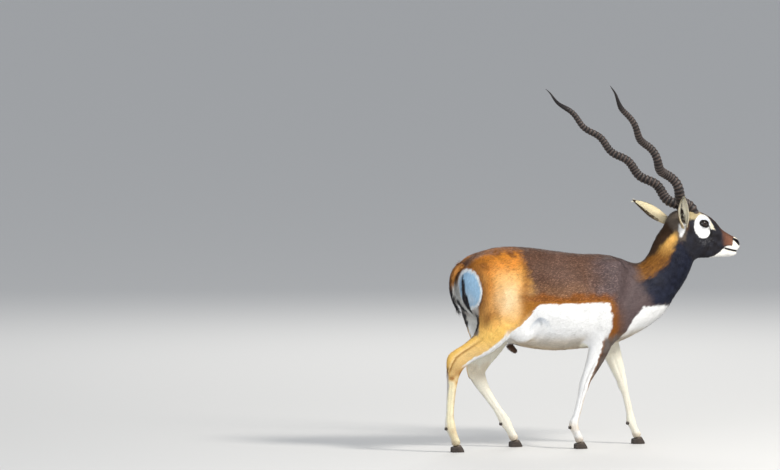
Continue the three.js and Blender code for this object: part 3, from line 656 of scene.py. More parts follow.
def body_marks(p, n):
    x, y, z = p.T
    s = np.abs(y)
    hand = np.sign(y)
    rough = 4.0 * noise(p, 23, 1) + 2.6 * noise(p, 8, 2) + 1.6 * noise(p, 3.5, 3)
    wide = noise(p, 70, 5)
    mid = noise(p, 24, 6)
    c = flat(BACK, x)
    c = mix(c, BACK_REAR, step(x, 0, -130) * (.7 + .3 * wide))
    c = mix(c, (.2, .098, .045), .6 * step(z, 650, 590) * step(x, 120, 20) * (.8 + .4 * mid))
    c = mix(c, (.095, .046, .028), .6 * step(x, -30, 50) * step(z, 600, 650))
    c = mix(c, SHOULDER, step(x + 14 * mid, 70, 175))
    c = mix(c, (.1, .046, .02), .6 * step(z, 690, 725) * step(x, 60, 160))
    c = mix(c, (.165, .06, .012), .75 * step(z, 575, 440) * step(x, 90, 150) * step(x + rough, 245, 175))
    # rump, haunch and thigh
    edge = -147 - 34 * step(z, 640, 735) + 6 * np.sin(z / 23)
    rump = step(x + 3 * rough + 13 * mid + 8 * wide, edge + 22, edge - 26)
    h = flat(HAUNCH, x)
    h = mix(h, RUMP, step(z + 14 * mid, 640, 705))
    h = mix(h, (.19, .062, .014), .85 * step(z + 14 * mid + 4 * rough, 712, 742))
    h = mix(h, TAN, bell(x + 238, 54, z - 566, 72) * (.9 + .2 * mid))
    # Painted shade along the groove at the rear of the haunch
    h = mix(h, (.5, .175, .022), .75 * bell(x + 316, 26, z - 628, 92))
    h = mix(h, (.4, .15, .02), .7 * bell(x + 300, 30, z - 500, 46))
    # Painted shade along the groove in front of the haunch
    h = mix(h, (.3, .115, .018), .8 * bell(x + 168 - .18 * (z - 600), 24) * band(z, 520, 590, 660, 725))
    h = mix(h, GASKIN, step(z + 14 * mid, 520, 430))
    h = mix(h, (.21, .08, .016), .75 * bell(x + 326, 20, z - 500 - .6 * (x + 326), 30))
    fleck = step(noise(p, 3.4, 4), .1, .5) * (.35 + .65 * step(z + 20 * mid, 600, 690))
    h = h * (1.07 + .07 * noise(p, 13, 10) - .42 * fleck)[:, None]
    c = mix(c, h, rump)
    # rust edge above the white of the belly, and the white itself
    low = z + .8 * rough
    c = mix(c, RUST, .9 * step(low + 12 * mid, 596, 570) * band(x, -215, -150, 150, 200))
    c = mix(c, (.42, .17, .022), .7 * step(low, 562, 551) * band(x, -215, -150, 150, 190))
    rear, front = line(z, PANEL_REAR), line(z, PANEL_FRONT)
    panel = step(x + rough * .6, rear - 2.5, rear + 2.5) * step(x + rough * .6, front + 3, front - 3)
    panel = panel * step(low, PANEL_TOP + 3, PANEL_TOP - 3)
    by_edge = bell(x - front - 14, 15) * band(z, 330, 400, 520, 560)
    c = mix(c, (.27, .088, .01), .8 * by_edge * (.75 + .5 * noise(p, 12, 8)))
    c = mix(c, (.62, .38, .15), .6 * bell(x - rear + 8, 9) * step(z, 540, 500) * step(x, -340, -300))
    c = mix(c, WHITE, panel)
    # Painted shadow in the fold between the belly and the front of the thigh
    top = 499 - .022 * (x + 110) ** 2
    fold = bell(x + 112, 38, np.maximum(top - z, 0), 20) * step(z, top + 4, top - 2)
    c = mix(c, (.4, .45, .52), .75 * fold * panel)
    chest_x = line(z, CHEST)
    chest = step(x + rough, chest_x - 2.5, chest_x + 2.5) * step(z + rough, CHEST_TOP + 3, CHEST_TOP - 3)
    c = mix(c, WHITE, chest * step(x, 150, 190))
    # inner sides and the underside
    inward = step(-n[:, 1] * hand, .05, .35)
    c = mix(c, WHITE, inward * step(z + rough, 492, 478) * step(s, 100, 92))
    c = mix(c, WHITE, step(-n[:, 2], .62, .8) * step(z, WHITE_UNDER + 8, WHITE_UNDER - 8) * step(s, 84, 66))
    c = mix(c, WHITE, step(s, 52, 34) * step(z, 470, 455) * step(x, -330, -300))
    # Painted shade: the white underside is darkened and warmed where it faces down, and greyed low on the
    # belly's sides
    underside_shade = step(-n[:, 2], .35, .95) * step(z, 470, 400)
    c = mix(c, (.54, .4, .22), .78 * underside_shade * step(x, -240, -150))
    c = mix(c, (.56, .53, .47), .55 * step(z + 8 * mid, 425, 385) * step(x, -250, -190) * step(s, 30, 60))
    sheath = np.linalg.norm((p - np.array([-190, 0, 374])) / (37, 19, 25), axis=1)
    c = mix(c, (.084, .046, .03), step(sheath, 1.15, .85) * step(z, 400, 390))
    c = c * (1 + .07 * wide + .09 * mid + .07 * noise(p, 5, 9))[:, None]
    return c


def thigh_edge_shade(p, n):
    """Painted shade: a dark band along the rear edge of each thigh, under the patch."""
    hand = np.sign(p[:, 1])
    narrow = .74 + .2 * step(p[:, 2], 475, 425)
    edge = step(-n[:, 0] + .07 * noise(p, 8, 13), narrow, narrow + .1) * step(-n[:, 1] * hand, -.55, -.35)
    return edge * step(p[:, 2], 418, 436) * step(p[:, 2], 545, 500)


def rump_marks(p, n, c):
    x, y, z = p.T
    s = np.abs(y)
    across = .951 * x + .309 * s
    rough = 1.5 * noise(p, 16, 11) + 1.2 * noise(p, 5, 12)
    lean = .1 * (611 - z)
    patch = np.hypot((across + 339 - lean + rough) / 44, (z - 611 + rough) / 74)
    back = step(x, -286, -300)
    c = mix(c, (.14, .048, .011), .8 * bell(x + 334 + 3 * rough, 30, z - 698, 20) * step(s, 22, 40))
    c = mix(c, (.62, .3, .06), .6 * bell(x + 366, 14, z - 676, 24) * step(s, 22, 34))
    c = mix(c, (.201, .071, .017), .8 * back * step(patch, 1.85, 1.15))
    above = step(patch, 1.22, 1.04) * step(across, -335, -300) * step(z, 690, 560)
    c = mix(c, (.06, .023, .01), .8 * back * above)
    # Painted shade: the inner sides of the thighs below the patch are greyed, and darker lower down
    low = step(z + 2 * rough, 560, 535) * step(z, 425, 450) * step(across + rough, -302, -312)
    c = mix(c, (.42, .41, .39), low * .92 * back)
    c = mix(c, (.1, .06, .04), low * back * step(z, 490, 440) * .8)
    # The rump patch is white: its middle is painted in bluish shade, with a white rim and a paler lower part
    # where the painted shade is lighter
    c = mix(c, WHITE_IN_PAINTED_SHADE, back * step(patch, 1.03, .95))
    c = mix(c, (.8, .8, .79), .85 * back * band(patch, .8, .93, .97, 1.04))
    c = mix(c, (.62, .68, .74), .6 * back * step(patch, .9, .5) * step(z + .8 * (across + 340), 615, 560))
    # Painted shade: the white under the tail and between the thighs is greyed
    c = mix(c, UNDER_TAIL_IN_SHADE, back * step(s, 34, 22) * step(z + 3 * rough, 640, 600) * step(z, 425, 440))
    c = mix(c, UNDER_TAIL_IN_SHADE, back * step(s, 66, 50) * band(z, 425, 440, 494, 508))
    half = line(z, STRIPE_HALF)
    stripe = step(np.abs(across - line(z, STRIPE_AT) + .7 * rough), half + 1.4, half - 1.4)
    stripe = stripe * step(z, 418, 430) * step(s + rough, 20, 30)
    c = mix(c, INK, stripe * back)
    # painted shade on the rear edges of the thighs
    c = mix(c, INK, .92 * back * thigh_edge_shade(p, n))
    ridge = step(x + 12 * rough, -262, -345) * step(z + 4 * rough, 672, 692) * step(s + 3 * rough, 46, 16)
    return mix(c, (.1, .035, .014), .8 * ridge)


def tail_marks(p, n, share, c):
    x, y, z = p.T
    t = flat(TAIL_TOP, x)
    t = mix(t, (.201, .079, .02), step(z + 6 * noise(p, 12, 14), 650, 685))
    t = mix(t, INK, step(z + 8 * noise(p, 12, 14), 650, 600))
    edge = step(np.abs(y - 2) + 1.5 * noise(p, 6, 15), 11.5, 14)
    t = mix(t, (.46, .2, .05), edge * step(z, 600, 640))
    t = mix(t, TAIL_EDGE, edge * step(z, 636, 606))
    t = mix(t, TAIL_EDGE, step(n[:, 0], .15, .5) * step(z, 650, 620))
    return mix(c, t, share)


def tendon(z, f, k):
    """Groove in front of the tendon that runs up from the point of the hock."""
    lies = line(z, [(k - 8, -.72), (k + 40, -.52), (k + 100, -.42), (k + 150, -.4)])
    return bell(f - lies, .11) * band(z, k - 8, k + 12, k + 70, k + 150)


def relief(p, n):
    """Depth of the grooves between muscles, in mm."""
    x, y, z = p.T
    out = step(n[:, 1] * np.sign(y), .15, .5)
    deep = np.zeros(len(p))
    for x0, z0, x1, z1, wide, far in GROOVES:
        t = np.clip(((x - x0) * (x1 - x0) + (z - z0) * (z1 - z0)) / ((x1 - x0) ** 2 + (z1 - z0) ** 2), 0, 1)
        away = np.hypot(x - x0 - t * (x1 - x0), z - z0 - t * (z1 - z0)) / wide
        deep = np.maximum(deep, far * np.exp(-away ** 2) * band(t, 0, .2, .8, 1) * out)
    for name, leg in LEGS.items():
        k = leg["joint"]
        low = (z < k + 160) & beside(leg, p, 14)
        _, rise, side, _, far = place(LEG_ROWS[name], p[low])
        outer = step(np.abs(side), .1, .4) * step(far, 75, 62)
        if leg["heel"] is not None:
            dip = 3.2 * tendon(z[low], rise, k)
            dip += 1.6 * bell(rise + .35, .16) * band(z[low], 60, 110, k - 60, k - 20)
        else:
            dip = 1.8 * bell(rise + .2, .17) * band(z[low], 60, 110, k - 50, k - 16)
            dip += 2.2 * bell(rise + .15, .16) * band(z[low], k + 20, k + 50, k + 110, k + 150)
        deep[low] = np.maximum(deep[low], dip * outer)
    return deep


def leg_marks(name, p, n, c):
    leg = LEGS[name]
    _, f, side, _, far = place(LEG_ROWS[name], p)
    hand = leg["side"]
    out = side * hand
    x, _, z = p.T
    rough = noise(p, 12, 20 + hand) * .1 + noise(p, 4, 22) * .07
    m = noise(p, 18, 24)
    hind = leg["heel"] is not None
    k = leg["joint"]
    if hind:
        t = flat(GASKIN, x)
        t = mix(t, (.66, .5, .28), .5 * step(out, .5, .9) * step(z, k + 130, k + 60))
        t = mix(t, (.4, .19, .06), .55 * step(f + rough, .62, .95) * step(z, k - 60, k - 10))
        t = mix(t, (.34, .16, .054), .5 * bell(z - k + 6, 30) * (1 + m))
        t = mix(t, (.86, .78, .54), step(z + 22 * m, k - 16, k - 70))
        front = step(f + rough, .25, .75) * step(z + 30 * m, k - 20, k - 60) * step(z, 95, 140)
        t = mix(t, (.52, .33, .15), .6 * front)
        t = mix(t, WHITE, step(f + rough, .5, .66) * step(z, k + 8, k + 34) * step(out, .95, .7))
        # Painted shade in the groove in front of the tendon, and a painted highlight on the tendon behind it
        t = mix(t, (.26, .105, .022), .75 * tendon(z, f, k) * step(out, 0, .3))
        t = mix(t, (.9, .7, .36), .5 * tendon(z, f + .2, k) * step(out, 0, .3))
        t = mix(t, (.12, .045, .012), .85 * step(f + rough, -.7, -.9) * band(z, k - 120, k - 60, k + 4, k + 22))
        spots = step(m + 1.2 * rough, .25, .55) * bell(z - k + 28, 26) * step(out, .1, .4)
        t = mix(t, (.33, .135, .035), .6 * spots)
        t = mix(t, WHITE, step(f + rough, -.72, -.9) * step(z, k + 10, k - 30) * .6)
    else:
        t = flat(WHITE, x)
        start = line(z, [(190, 1.2), (215, .85), (250, .5), (282, .3), (345, .12), (404, -.06), (440, -.1)])
        stripe = step(f + rough, start - .06, start + .06) * step(out, -.35, -.15)
        dark = flat((.06, .03, .016), x)
        dark = mix(dark, (.19, .07, .014), step(f + rough, start + .3, start + .02))
        dark = mix(dark, (.3, .15, .05), step(z, 300, 225) * .7)
        t = mix(t, dark, stripe * (.92 + .08 * m))
        # Painted shade along the groove down the outer side of the foreleg
        grey = bell(f + .12 + rough, .14) * band(z, 120, 190, 300, 345) * step(out, .2, .6)
        t = mix(t, (.4, .38, .38), .55 * grey)
        front = step(f + rough, .3, .85) * step(z + 20 * m, 238, 196) * step(z, 80, 120)
        t = mix(t, (.56, .38, .18), .55 * front)
    inner = step(-out + .5 * rough, .1, .32)
    t = mix(t, (.88, .83, .71), inner)
    if hind:
        t = mix(t, (.72, .56, .34), .35 * inner * step(z + 20 * m, 330, 300) * step(z, 230, 290))
    t = mix(t, (.55, .4, .22), .35 * step(z, 118, 88) * (1 + m) * step(out, -.6, .2))
    t = mix(t, (.3, .201, .11), .5 * step(z, 50, 34))
    t = t * (1 + .07 * m)[:, None]
    top = (470, 420) if hind else (440, 400)
    share = step(z + 10 * m, *top) * step(far, 75, 62)
    if hind:
        # leave the painted shade on the thighs' rear edges showing
        share = share * (1 - step(-n[:, 0], .55, .72) * step(z, 418, 432))
    return mix(c, t, share)


def neck_marks(p, c):
    x, y, z = p.T
    u = -place(NECK_ROWS, p)[1] + .1 * noise(p, 30, 31) + .05 * noise(p, 7, 32)
    streak = noise(np.stack([p @ (.8, 0, .6) * .16, y * .5, p @ (-.6, 0, .8)], 1), 3.1, 33)
    t = flat(THROAT, x)
    glow = noise(p, 14, 34)
    # Painted sheen: patches of bluish light on the black hair of the throat
    t = mix(t, (.03, .036, .066), .28 * (1 + glow))
    gold = mix(flat(GOLD, x), GOLD_TOP, step(z + 8 * glow, 700, 790))
    gold = mix(gold, (.075, .026, .007), np.clip(.3 + .45 * streak, 0, .8) * step(z + 10 * glow, 750, 690))
    gold = mix(gold, (.13, .048, .01), .14 * (1 + noise(p, 9, 35)))
    gold = mix(gold, HEAD_BACK, step(z + 8 * glow, 800, 826))
    edge = line(z, [(600, -.58), (660, -.4), (700, -.25), (760, -.17), (800, -.2)])
    t = mix(t, gold, step(u + .06 * streak, edge + .16, edge - .16))
    nape = line(z, [(640, -1.1), (700, -.92), (760, -.74), (800, -.56)])
    t = mix(t, NAPE, step(u, nape + .1, nape - .12))
    share = step(x + 16 * noise(p, 26, 37) + .35 * (z - 640), 268, 330) * step(z + 9 * glow, 520, 545)
    return mix(c, t, share)


def head_marks(p, n, c, share):
    q = to_head(p)
    h, w, z = q.T
    s = np.abs(w)
    rough = 1.5 * noise(q, 9, 41) + 1.1 * noise(q, 3, 42)
    nn = n @ HEAD_TURN
    m = noise(q, 16, 43)
    t = flat(FACE, h)
    # Painted sheen: patches of bluish light on the black face
    t = mix(t, (.03, .033, .05), .3 * (1 + m))
    t = mix(t, (.3, .3, .32), .6 * step(noise(q, 2.2, 44), .2, .6) * bell(h - 95, 30, z + 40, 14))
    # crown and back of the head, temple and forehead
    t = mix(t, (.116, .058, .023), step(h + 2 * rough, 26, 8) * step(z + rough, -6, 14))
    t = mix(t, HEAD_BACK, step(h + 3 * rough, 18, 2) * step(z + 4 * rough, -44, -26))
    behind = step(h + 3 * rough, 0, -18) * step(z + 4 * rough, -30, -44) * step(z + 3 * rough, -82, -66)
    t = mix(t, GOLD, behind)
    temple = step(z + 1.5 * rough, 38, 50) * step(h + rough, 18, 34) * step(h + 2 * rough, 96, 78)
    t = mix(t, FAWN, temple * (1 - .25 * (1 + m)))
    t = mix(t, (.201, .11, .054), .8 * step(s, 16, 8) * step(z, 30, 50) * step(h, 60, 90))
    bridge = step(s + rough, 24, 15) * step(nn[:, 2], .25, .6) * step(h, 100, 125)
    t = mix(t, BRIDGE, bridge)
    t = mix(t, NOSE_RUST, step(h + 2 * rough, 164, 190) * step(z, -64, -52) * (.8 + .2 * m))
    t = mix(t, (.1, .046, .03), .6 * bridge * step(h, 150, 180))
    # white ring round each eye
    ring = np.hypot((h - 84.5 + .7 * rough) / 42, (z - 17 + .7 * rough) / 45)
    outer = step(s, 12, 19)
    wedge = step(h, 82, 86) * step(h + .5 * rough, 113 + (56 - z) * .53, 109 + (56 - z) * .53)
    wedge = wedge * step(z - 7 + (h - 122) * .4 + .5 * rough, -1.5, 1.5) * step(z, 63, 58)
    t = mix(t, WHITE, np.maximum(step(ring, 1.04, .96), wedge) * outer)
    t = mix(t, (.74, .64, .42), .7 * step(h, 108, 124) * wedge * outer)
    # Painted shade: blue-grey over the upper part of the white ring round the eye
    t = mix(t, (.58, .62, .7), .6 * step(ring, 1.02, .7) * step(z + h * .3, 38, 66) * outer)
    t = mix(t, (.66, .6, .46), .5 * step(ring, .75, 1.0) * step(z, 44, 62) * step(h, 50, 90) * outer)
    along = np.clip((7 - z) / 32, 0, 1)
    slit = np.abs(h - 119 - 7 * along) - 2.6 - 5 * along
    t = mix(t, SKIN_BLACK, step(slit, 1.2, -.6) * band(z, -28, -22, 6, 10) * outer)
    # white muzzle, chin and underside of the jaw
    below = line(h, MUZZLE_TOP)
    white = step(z + rough * .8, below + 2, below - 2) * step(h, 84, 92)
    t = mix(t, MUZZLE, white)
    t = mix(t, WHITE, white * step(-nn[:, 2], -.2, .3) * .7)
    t = mix(t, (.62, .44, .261), .45 * white * step(z, -62, -45) * step(h, 215, 195))
    # dark skin of the nostrils, the nose's tip and the lips
    nose = nostril_distance(q)
    t = mix(t, SKIN_BLACK, step(nose, 5.0, 3.8))
    pad = step(s, 17, 11) * step(h, 233, 240) * band(z, -60, -54, -30, -22)
    t = mix(t, (.025, .02, .02), pad)
    lips = np.abs(z - mouth_height(h))
    t = mix(t, SKIN_BLACK, step(lips, 4.2, 3.2) * step(h + rough, 178, 184))
    t = mix(t, FACE, step(np.hypot((h - 172) / 9, (z + 66) / 6), 1.1, .7) * .9)
    # patch under each ear
    taper = line(z, [(-28, 0), (-16, 6), (0, 11), (16, 14)])
    patch = step(np.abs(h + 7.5 - .05 * z + rough) - taper, 2, -3) * band(z, -28, -18, 24, 34) * step(s, 14, 24)
    t = mix(t, WHITE, patch)
    crest = np.abs(z - 62 - .42 * (h + 58) + rough) - 2.5
    t = mix(t, CREAM, .8 * step(crest, 2, -1) * band(h, -82, -70, -46, -36) * step(s, 6, 14))
    # lids
    near = near_eye(q)
    rim = np.full(len(p), FAR)
    rim[near] = lid_distance(q[near])
    ball = np.linalg.norm(mirrored(q) - EYE["at"], axis=1)
    t = mix(t, SKIN_BLACK, step(rim, 5.0, 3.6) * near)
    t = mix(t, SKIN_BLACK, step(np.hypot((h - 108) / 7, (z - 15 + .5 * (h - 108)) / 3.2), 1.2, .8) * near)
    t = mix(t, SKIN_BLACK, step(ball, EYE["radius"] + 1.6, EYE["radius"] + .7) * near)
    # Painted shade in the creases above and below the lids
    t = mix(t, (.42, .45, .52), .6 * bell(rim - 10, 1.8) * near * step(z, 28, 40))
    t = mix(t, (.5, .51, .55), .2 * bell(rim - 8, 2.2) * near * step(z, 18, 8))
    return mix(c, t, share)


def markings(p, n):
    """Colour of the coat at points of the skin, p, with normals n."""
    parts = []
    for i in range(0, len(p), TONES_AT_ONCE):
        a, b = p[i:i + TONES_AT_ONCE], n[i:i + TONES_AT_ONCE]
        c = body_marks(a, b)
        rear = a[:, 0] < -280
        c[rear] = rump_marks(a[rear], b[rear], c[rear])
        c[rear] = tail_marks(a[rear], b[rear], step(tail(a[rear]), 1.5, -1), c[rear])
        front = (a[:, 0] > 230) & (a[:, 2] > 500)
        c[front] = neck_marks(a[front], c[front])
        for name, leg in LEGS.items():
            low = (a[:, 2] < 485) & beside(leg, a, 14)
            c[low] = leg_marks(name, a[low], b[low], c[low])
        high = a[:, 0] > 400
        ahead = past(NECK_TOP, a[high]) + 5 * noise(a[high], 14, 51)
        c[high] = head_marks(a[high], b[high], c[high], step(ahead, -12, 8))
        parts.append(c)
    return np.clip(np.vstack(parts), .002, .9)


# The row's frame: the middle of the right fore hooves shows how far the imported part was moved
fore = LEGS["right_fore"]["hoof"]
claws = [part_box("right_fore_hoof_outer"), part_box("right_fore_hoof_inner")]
claws = [(Vector(low) + Vector(high)) / 2 for low, high in claws]
middle = (claws[0] + claws[1]) * 500
SHIFT = np.array([middle.x - fore[0], middle.y - fore[1], 0])


def metres(v):
    return (np.asarray(v, float) + SHIFT) / 1000


def build(name, verts, faces, material, tones, normals=None, spots=None):
    """A named mesh on the root body. faces is an array with one row per face."""
    faces = np.asarray(faces, np.int32)
    mesh = bpy.data.meshes.new(name)
    mesh.vertices.add(len(verts))
    mesh.vertices.foreach_set("co", metres(verts).ravel())
    mesh.loops.add(faces.size)
    mesh.loops.foreach_set("vertex_index", faces.ravel())
    mesh.polygons.add(len(faces))
    mesh.polygons.foreach_set("loop_start", np.arange(len(faces), dtype=np.int32) * faces.shape[1])
    mesh.update(calc_edges=True)
    mesh.polygons.foreach_set("use_smooth", np.full(len(faces), True))
    layer = mesh.color_attributes.new(name="tone", type="FLOAT_COLOR", domain="POINT")
    layer.data.foreach_set("color", np.hstack([tones, np.ones((len(tones), 1))]).ravel())
    if spots is not None:
        layer = mesh.uv_layers.new(name="OFBake")
        layer.data.foreach_set("uv", spots[faces.ravel()].ravel())
    if normals is not None:
        mesh.normals_split_custom_set_from_vertices(normals)
    mesh.materials.append(material)
    piece = bpy.data.objects.new(name, mesh)
    bpy.context.scene.collection.objects.link(piece)
    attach(piece, "root")
    return piece


def material(name, rough, shine, grain, vary, bump, deep, stretch=(1, 1, 1)):
    """The mesh's own tones, varied by a fine noise that also raises the surface."""
    made = bpy.data.materials.new(name)
    made.use_nodes = True
    tree = made.node_tree
    shader = tree.nodes["Principled BSDF"]
    shader.inputs["Roughness"].default_value = rough
    shader.inputs["Specular IOR Level"].default_value = shine

    def node(kind, **values):
        added = tree.nodes.new("ShaderNode" + kind)
        for key, value in values.items():
            added.inputs[key.replace("_", " ")].default_value = value
        return added

    tone = node("Attribute")
    tone.attribute_name = "tone"
    sized = node("Mapping", Scale=stretch)
    grains = node("TexNoise", Scale=grain, Detail=4)
    spread = node("MapRange", From_Min=.3, From_Max=.7, To_Min=1 - vary, To_Max=1 + vary * .6)
    both = node("VectorMath")
    both.operation = "MULTIPLY"
    relief = node("Bump", Strength=bump, Distance=deep)
    for source, out, target, socket in (
        (node("TexCoord"), "Object", sized, "Vector"), (sized, "Vector", grains, "Vector"),
        (grains, "Fac", spread, "Value"), (tone, "Color", both, 0), (spread, "Result", both, 1),
        (both, "Vector", shader, "Base Color"), (grains, "Fac", relief, "Height"),
        (relief, "Normal", shader, "Normal"),
    ):
        tree.links.new(source.outputs[out], target.inputs[socket])
    return made


SKIN = material("skin", .64, .14, 420, .16, .45, .0008, (.45, 1.4, 1.0))
FUR = material("coat", .52, .12, 700, .10, .15, .0003)
HORN = material("horn", .50, .35, 520, .30, .35, .0005)
HOOF_HORN = material("hoof", .40, .5, 380, .30, .30, .0004, (1, 1, 3))
EYE_WET = material("eye", .07, .45, 300, .12, 0, .0001)

# The skin: body, neck, tail and legs, then the finer head over its end. Each is worked out between two corners,
# in cells of this size, and its faces are cut off this far past the end of the neck.
BODY_GRID = (-500, -136, 12), (560, 136, 850), (3.2, 2.7, 3.2)
HEAD_GRID = (424, -96, 650), (744, 120, 910), (1.7, 1.7, 1.7)
BODY_END, HEAD_START = 5, -9
# Painted shade: the skin under the coat is a little darker than the hairs over it
UNDER_COAT = .93


def whole(p):
    """The skin below the head, cut off where the hooves begin."""
    d = body(p)
    low = p[:, 2] < 60
    q, e = p[low], d[low]
    for x0, y0 in (leg["hoof"] for leg in LEGS.values()):
        near = (np.abs(q[:, 0] - x0) < 60) & (np.abs(q[:, 1] - y0) < 40)
        top = HOOF["top"] + HOOF["slope"] * (q[:, 0] - x0)
        e = np.where(near, carve(e, q[:, 2] - top - .6, 5), e)
    d[low] = e
    return d


verts, quads = surface(whole, *BODY_GRID)
quads = quads[(past(NECK_TOP, verts)[quads] < BODY_END).all(1)]
head_verts, head_quads = surface(lambda p: head_skin(p) - .2, *HEAD_GRID)
head_quads = head_quads[(past(NECK_TOP, head_verts)[head_quads] > HEAD_START).all(1)]
body_count = len(verts)
verts = np.vstack([verts, head_verts])
used, quads = np.unique(np.vstack([quads, head_quads + body_count]), return_inverse=True)
quads = quads.reshape(-1, 4)
verts = verts[used]
normals = normals_of(verts, quads)
verts = verts - normals * relief(verts, normals)[:, None]
normals = normals_of(verts, quads)
flesh_nodes = ["torso", "neck", "head", "tail"]
flesh_nodes += [f"{name}_{part}" for name in LEGS for part in ("upper", "lower")]
skin = build("skin", verts, quads, SKIN, markings(verts, normals) * UNDER_COAT)
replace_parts(skin, *flesh_nodes)

# Which piece of the coat each face of the skin belongs to
centres = verts[quads].mean(1)
face_head = (used >= body_count)[quads].all(1)
region = np.where(centres[:, 1] < 0, "torso_right", "torso_left").astype("<U12")
region[(past(NECK_BASE, centres) > -6) & ~face_head] = "neck"
region[tail(centres) < -1] = "tail"
for name, leg in LEGS.items():
    region[(centres[:, 2] < 432) & beside(leg, centres, 18) & (trunk(centres) >= -1.2)] = name
region[face_head] = "head"
SWEPT = {**LEG_ROWS, "neck": NECK_ROWS, "tail": smoothed(TAIL, 3)}


def wrap(u, v):
    low, high = u.min(), u.max()
    return np.stack([.01 + .98 * (u - low) / max(high - low, 1e-6), .01 + .98 * v], 1)


def lie(kind, p, n):
    """Which way the hair lies at p, and each root's place on an unwrap of the part, from 0 to 1."""
    if kind == "head":
        q = to_head(p)
        v = np.stack([-np.ones(len(p)), np.zeros(len(p)), -.25 - .5 * step(q[:, 0], 215, 245)], 1) @ HEAD_TURN.T
        return v, wrap(q[:, 0], np.arctan2(q[:, 1], q[:, 2] + 20) / (2 * np.pi) + .5)
    if kind in SWEPT:
        run, rise, side, way, _ = place(SWEPT[kind], p)
        around = np.arctan2(side, rise) / (2 * np.pi) + .5
        return -way if kind == "neck" else way, wrap(p[:, 2] if kind in LEG_ROWS else run, around)
    v = np.zeros_like(p)
    rear = step(p[:, 0], -290, -330)
    v[:, 0] = -1 + .9 * rear
    v[:, 2] = -.30 - .5 * step(p[:, 2], 560, 440) * step(-n[:, 2], .7, .2) - .9 * rear
    return v, wrap(p[:, 0], np.arctan2(np.abs(p[:, 1]), p[:, 2] - 580) / np.pi)


def clear_of_face(p):
    """Roots off the eyes, nostrils and lips."""
    e = mirrored(to_head(p))
    free = np.linalg.norm(e - EYE["at"], axis=1) > EYE["radius"] + 1.7
    near = near_eye(e)
    free[near] &= lid_distance(e[near]) > 3.6
    free &= nostril_distance(e) > 4.6
    free &= (np.abs(e[:, 2] - mouth_height(e[:, 0])) > 4) | (e[:, 0] < 179)
    return free & ~((e[:, 1] < 8) & (e[:, 0] > 232) & (e[:, 2] > -62))


def blades(p, n, v, length, width, lift, tone):
    """Thin tapered hairs, five points and three triangles each: points, faces, normals and tones."""
    count = len(p)
    v = unit(v - (v * n).sum(1, keepdims=True) * n + 1e-6)
    across = np.cross(n, v)
    yaw = np.radians(rng.normal(0, 9, count) + 12 * noise(p, 30, 61))[:, None]
    v = v * np.cos(yaw) + across * np.sin(yaw)
    across = np.cross(n, v)
    long = (length * rng.uniform(.75, 1.2, count))[:, None]
    rise = np.radians(np.clip(rng.normal(lift, lift * .3, count), 2, 40))[:, None]
    half = across * (width * rng.uniform(.7, 1.2, count) / 2)[:, None]
    low = p - .35 * n
    mid = p + v * long * .5 + n * long * np.sin(rise) * .62
    tip = p + v * long * np.cos(rise) + n * long * np.sin(rise)
    points = np.stack([low - half, low + half, mid - half * .8, mid + half * .8, tip], 1)
    faces = (np.arange(count)[:, None, None] * 5 + np.array([[0, 3, 1], [0, 2, 3], [2, 4, 3]])).reshape(-1, 3)
    shade = unit(n + across * rng.normal(0, .16, (count, 1)) - v * .10)
    # Painted shade and light: each hair is darker at its root and lighter at its tip
    tones = tone[:, None, :] * np.array([.86, .86, 1, 1, 1.1])[None, :, None]
    return points.reshape(-1, 3), faces, np.repeat(shade, 5, axis=0), np.clip(tones.reshape(-1, 3), .002, .88)


def hair(name, slot, spot, points, faces, shades, tones):
    """A piece of hairs, each with a small square on the unwrap."""
    corner = np.array([[-1, -1], [1, -1], [-1, 0], [1, 0], [0, 1]]) * .0015
    spots = (spot[:, None, :] + corner[None]).reshape(-1, 2)
    return build(name, points, faces, FUR, tones, shades, spots)


def scatter(mine, density):
    """Random roots on these faces of the skin, with normals."""
    q = quads[mine]
    tri = np.vstack([q[:, [0, 1, 2]], q[:, [0, 2, 3]]])
    a, b, c = (verts[tri[:, i]] for i in range(3))
    area = np.linalg.norm(np.cross(b - a, c - a), axis=1) / 2
    count = int(area.sum() * density)
    pick = rng.choice(len(tri), count, p=area / area.sum())
    r = np.sqrt(rng.random(count))[:, None]
    s = rng.random(count)[:, None]
    k = [1 - r, r * (1 - s), r * s]
    p = sum(verts[tri[pick, i]] * k[i] for i in range(3))
    n = unit(sum(normals[tri[pick, i]] * k[i] for i in range(3)))
    return p, n


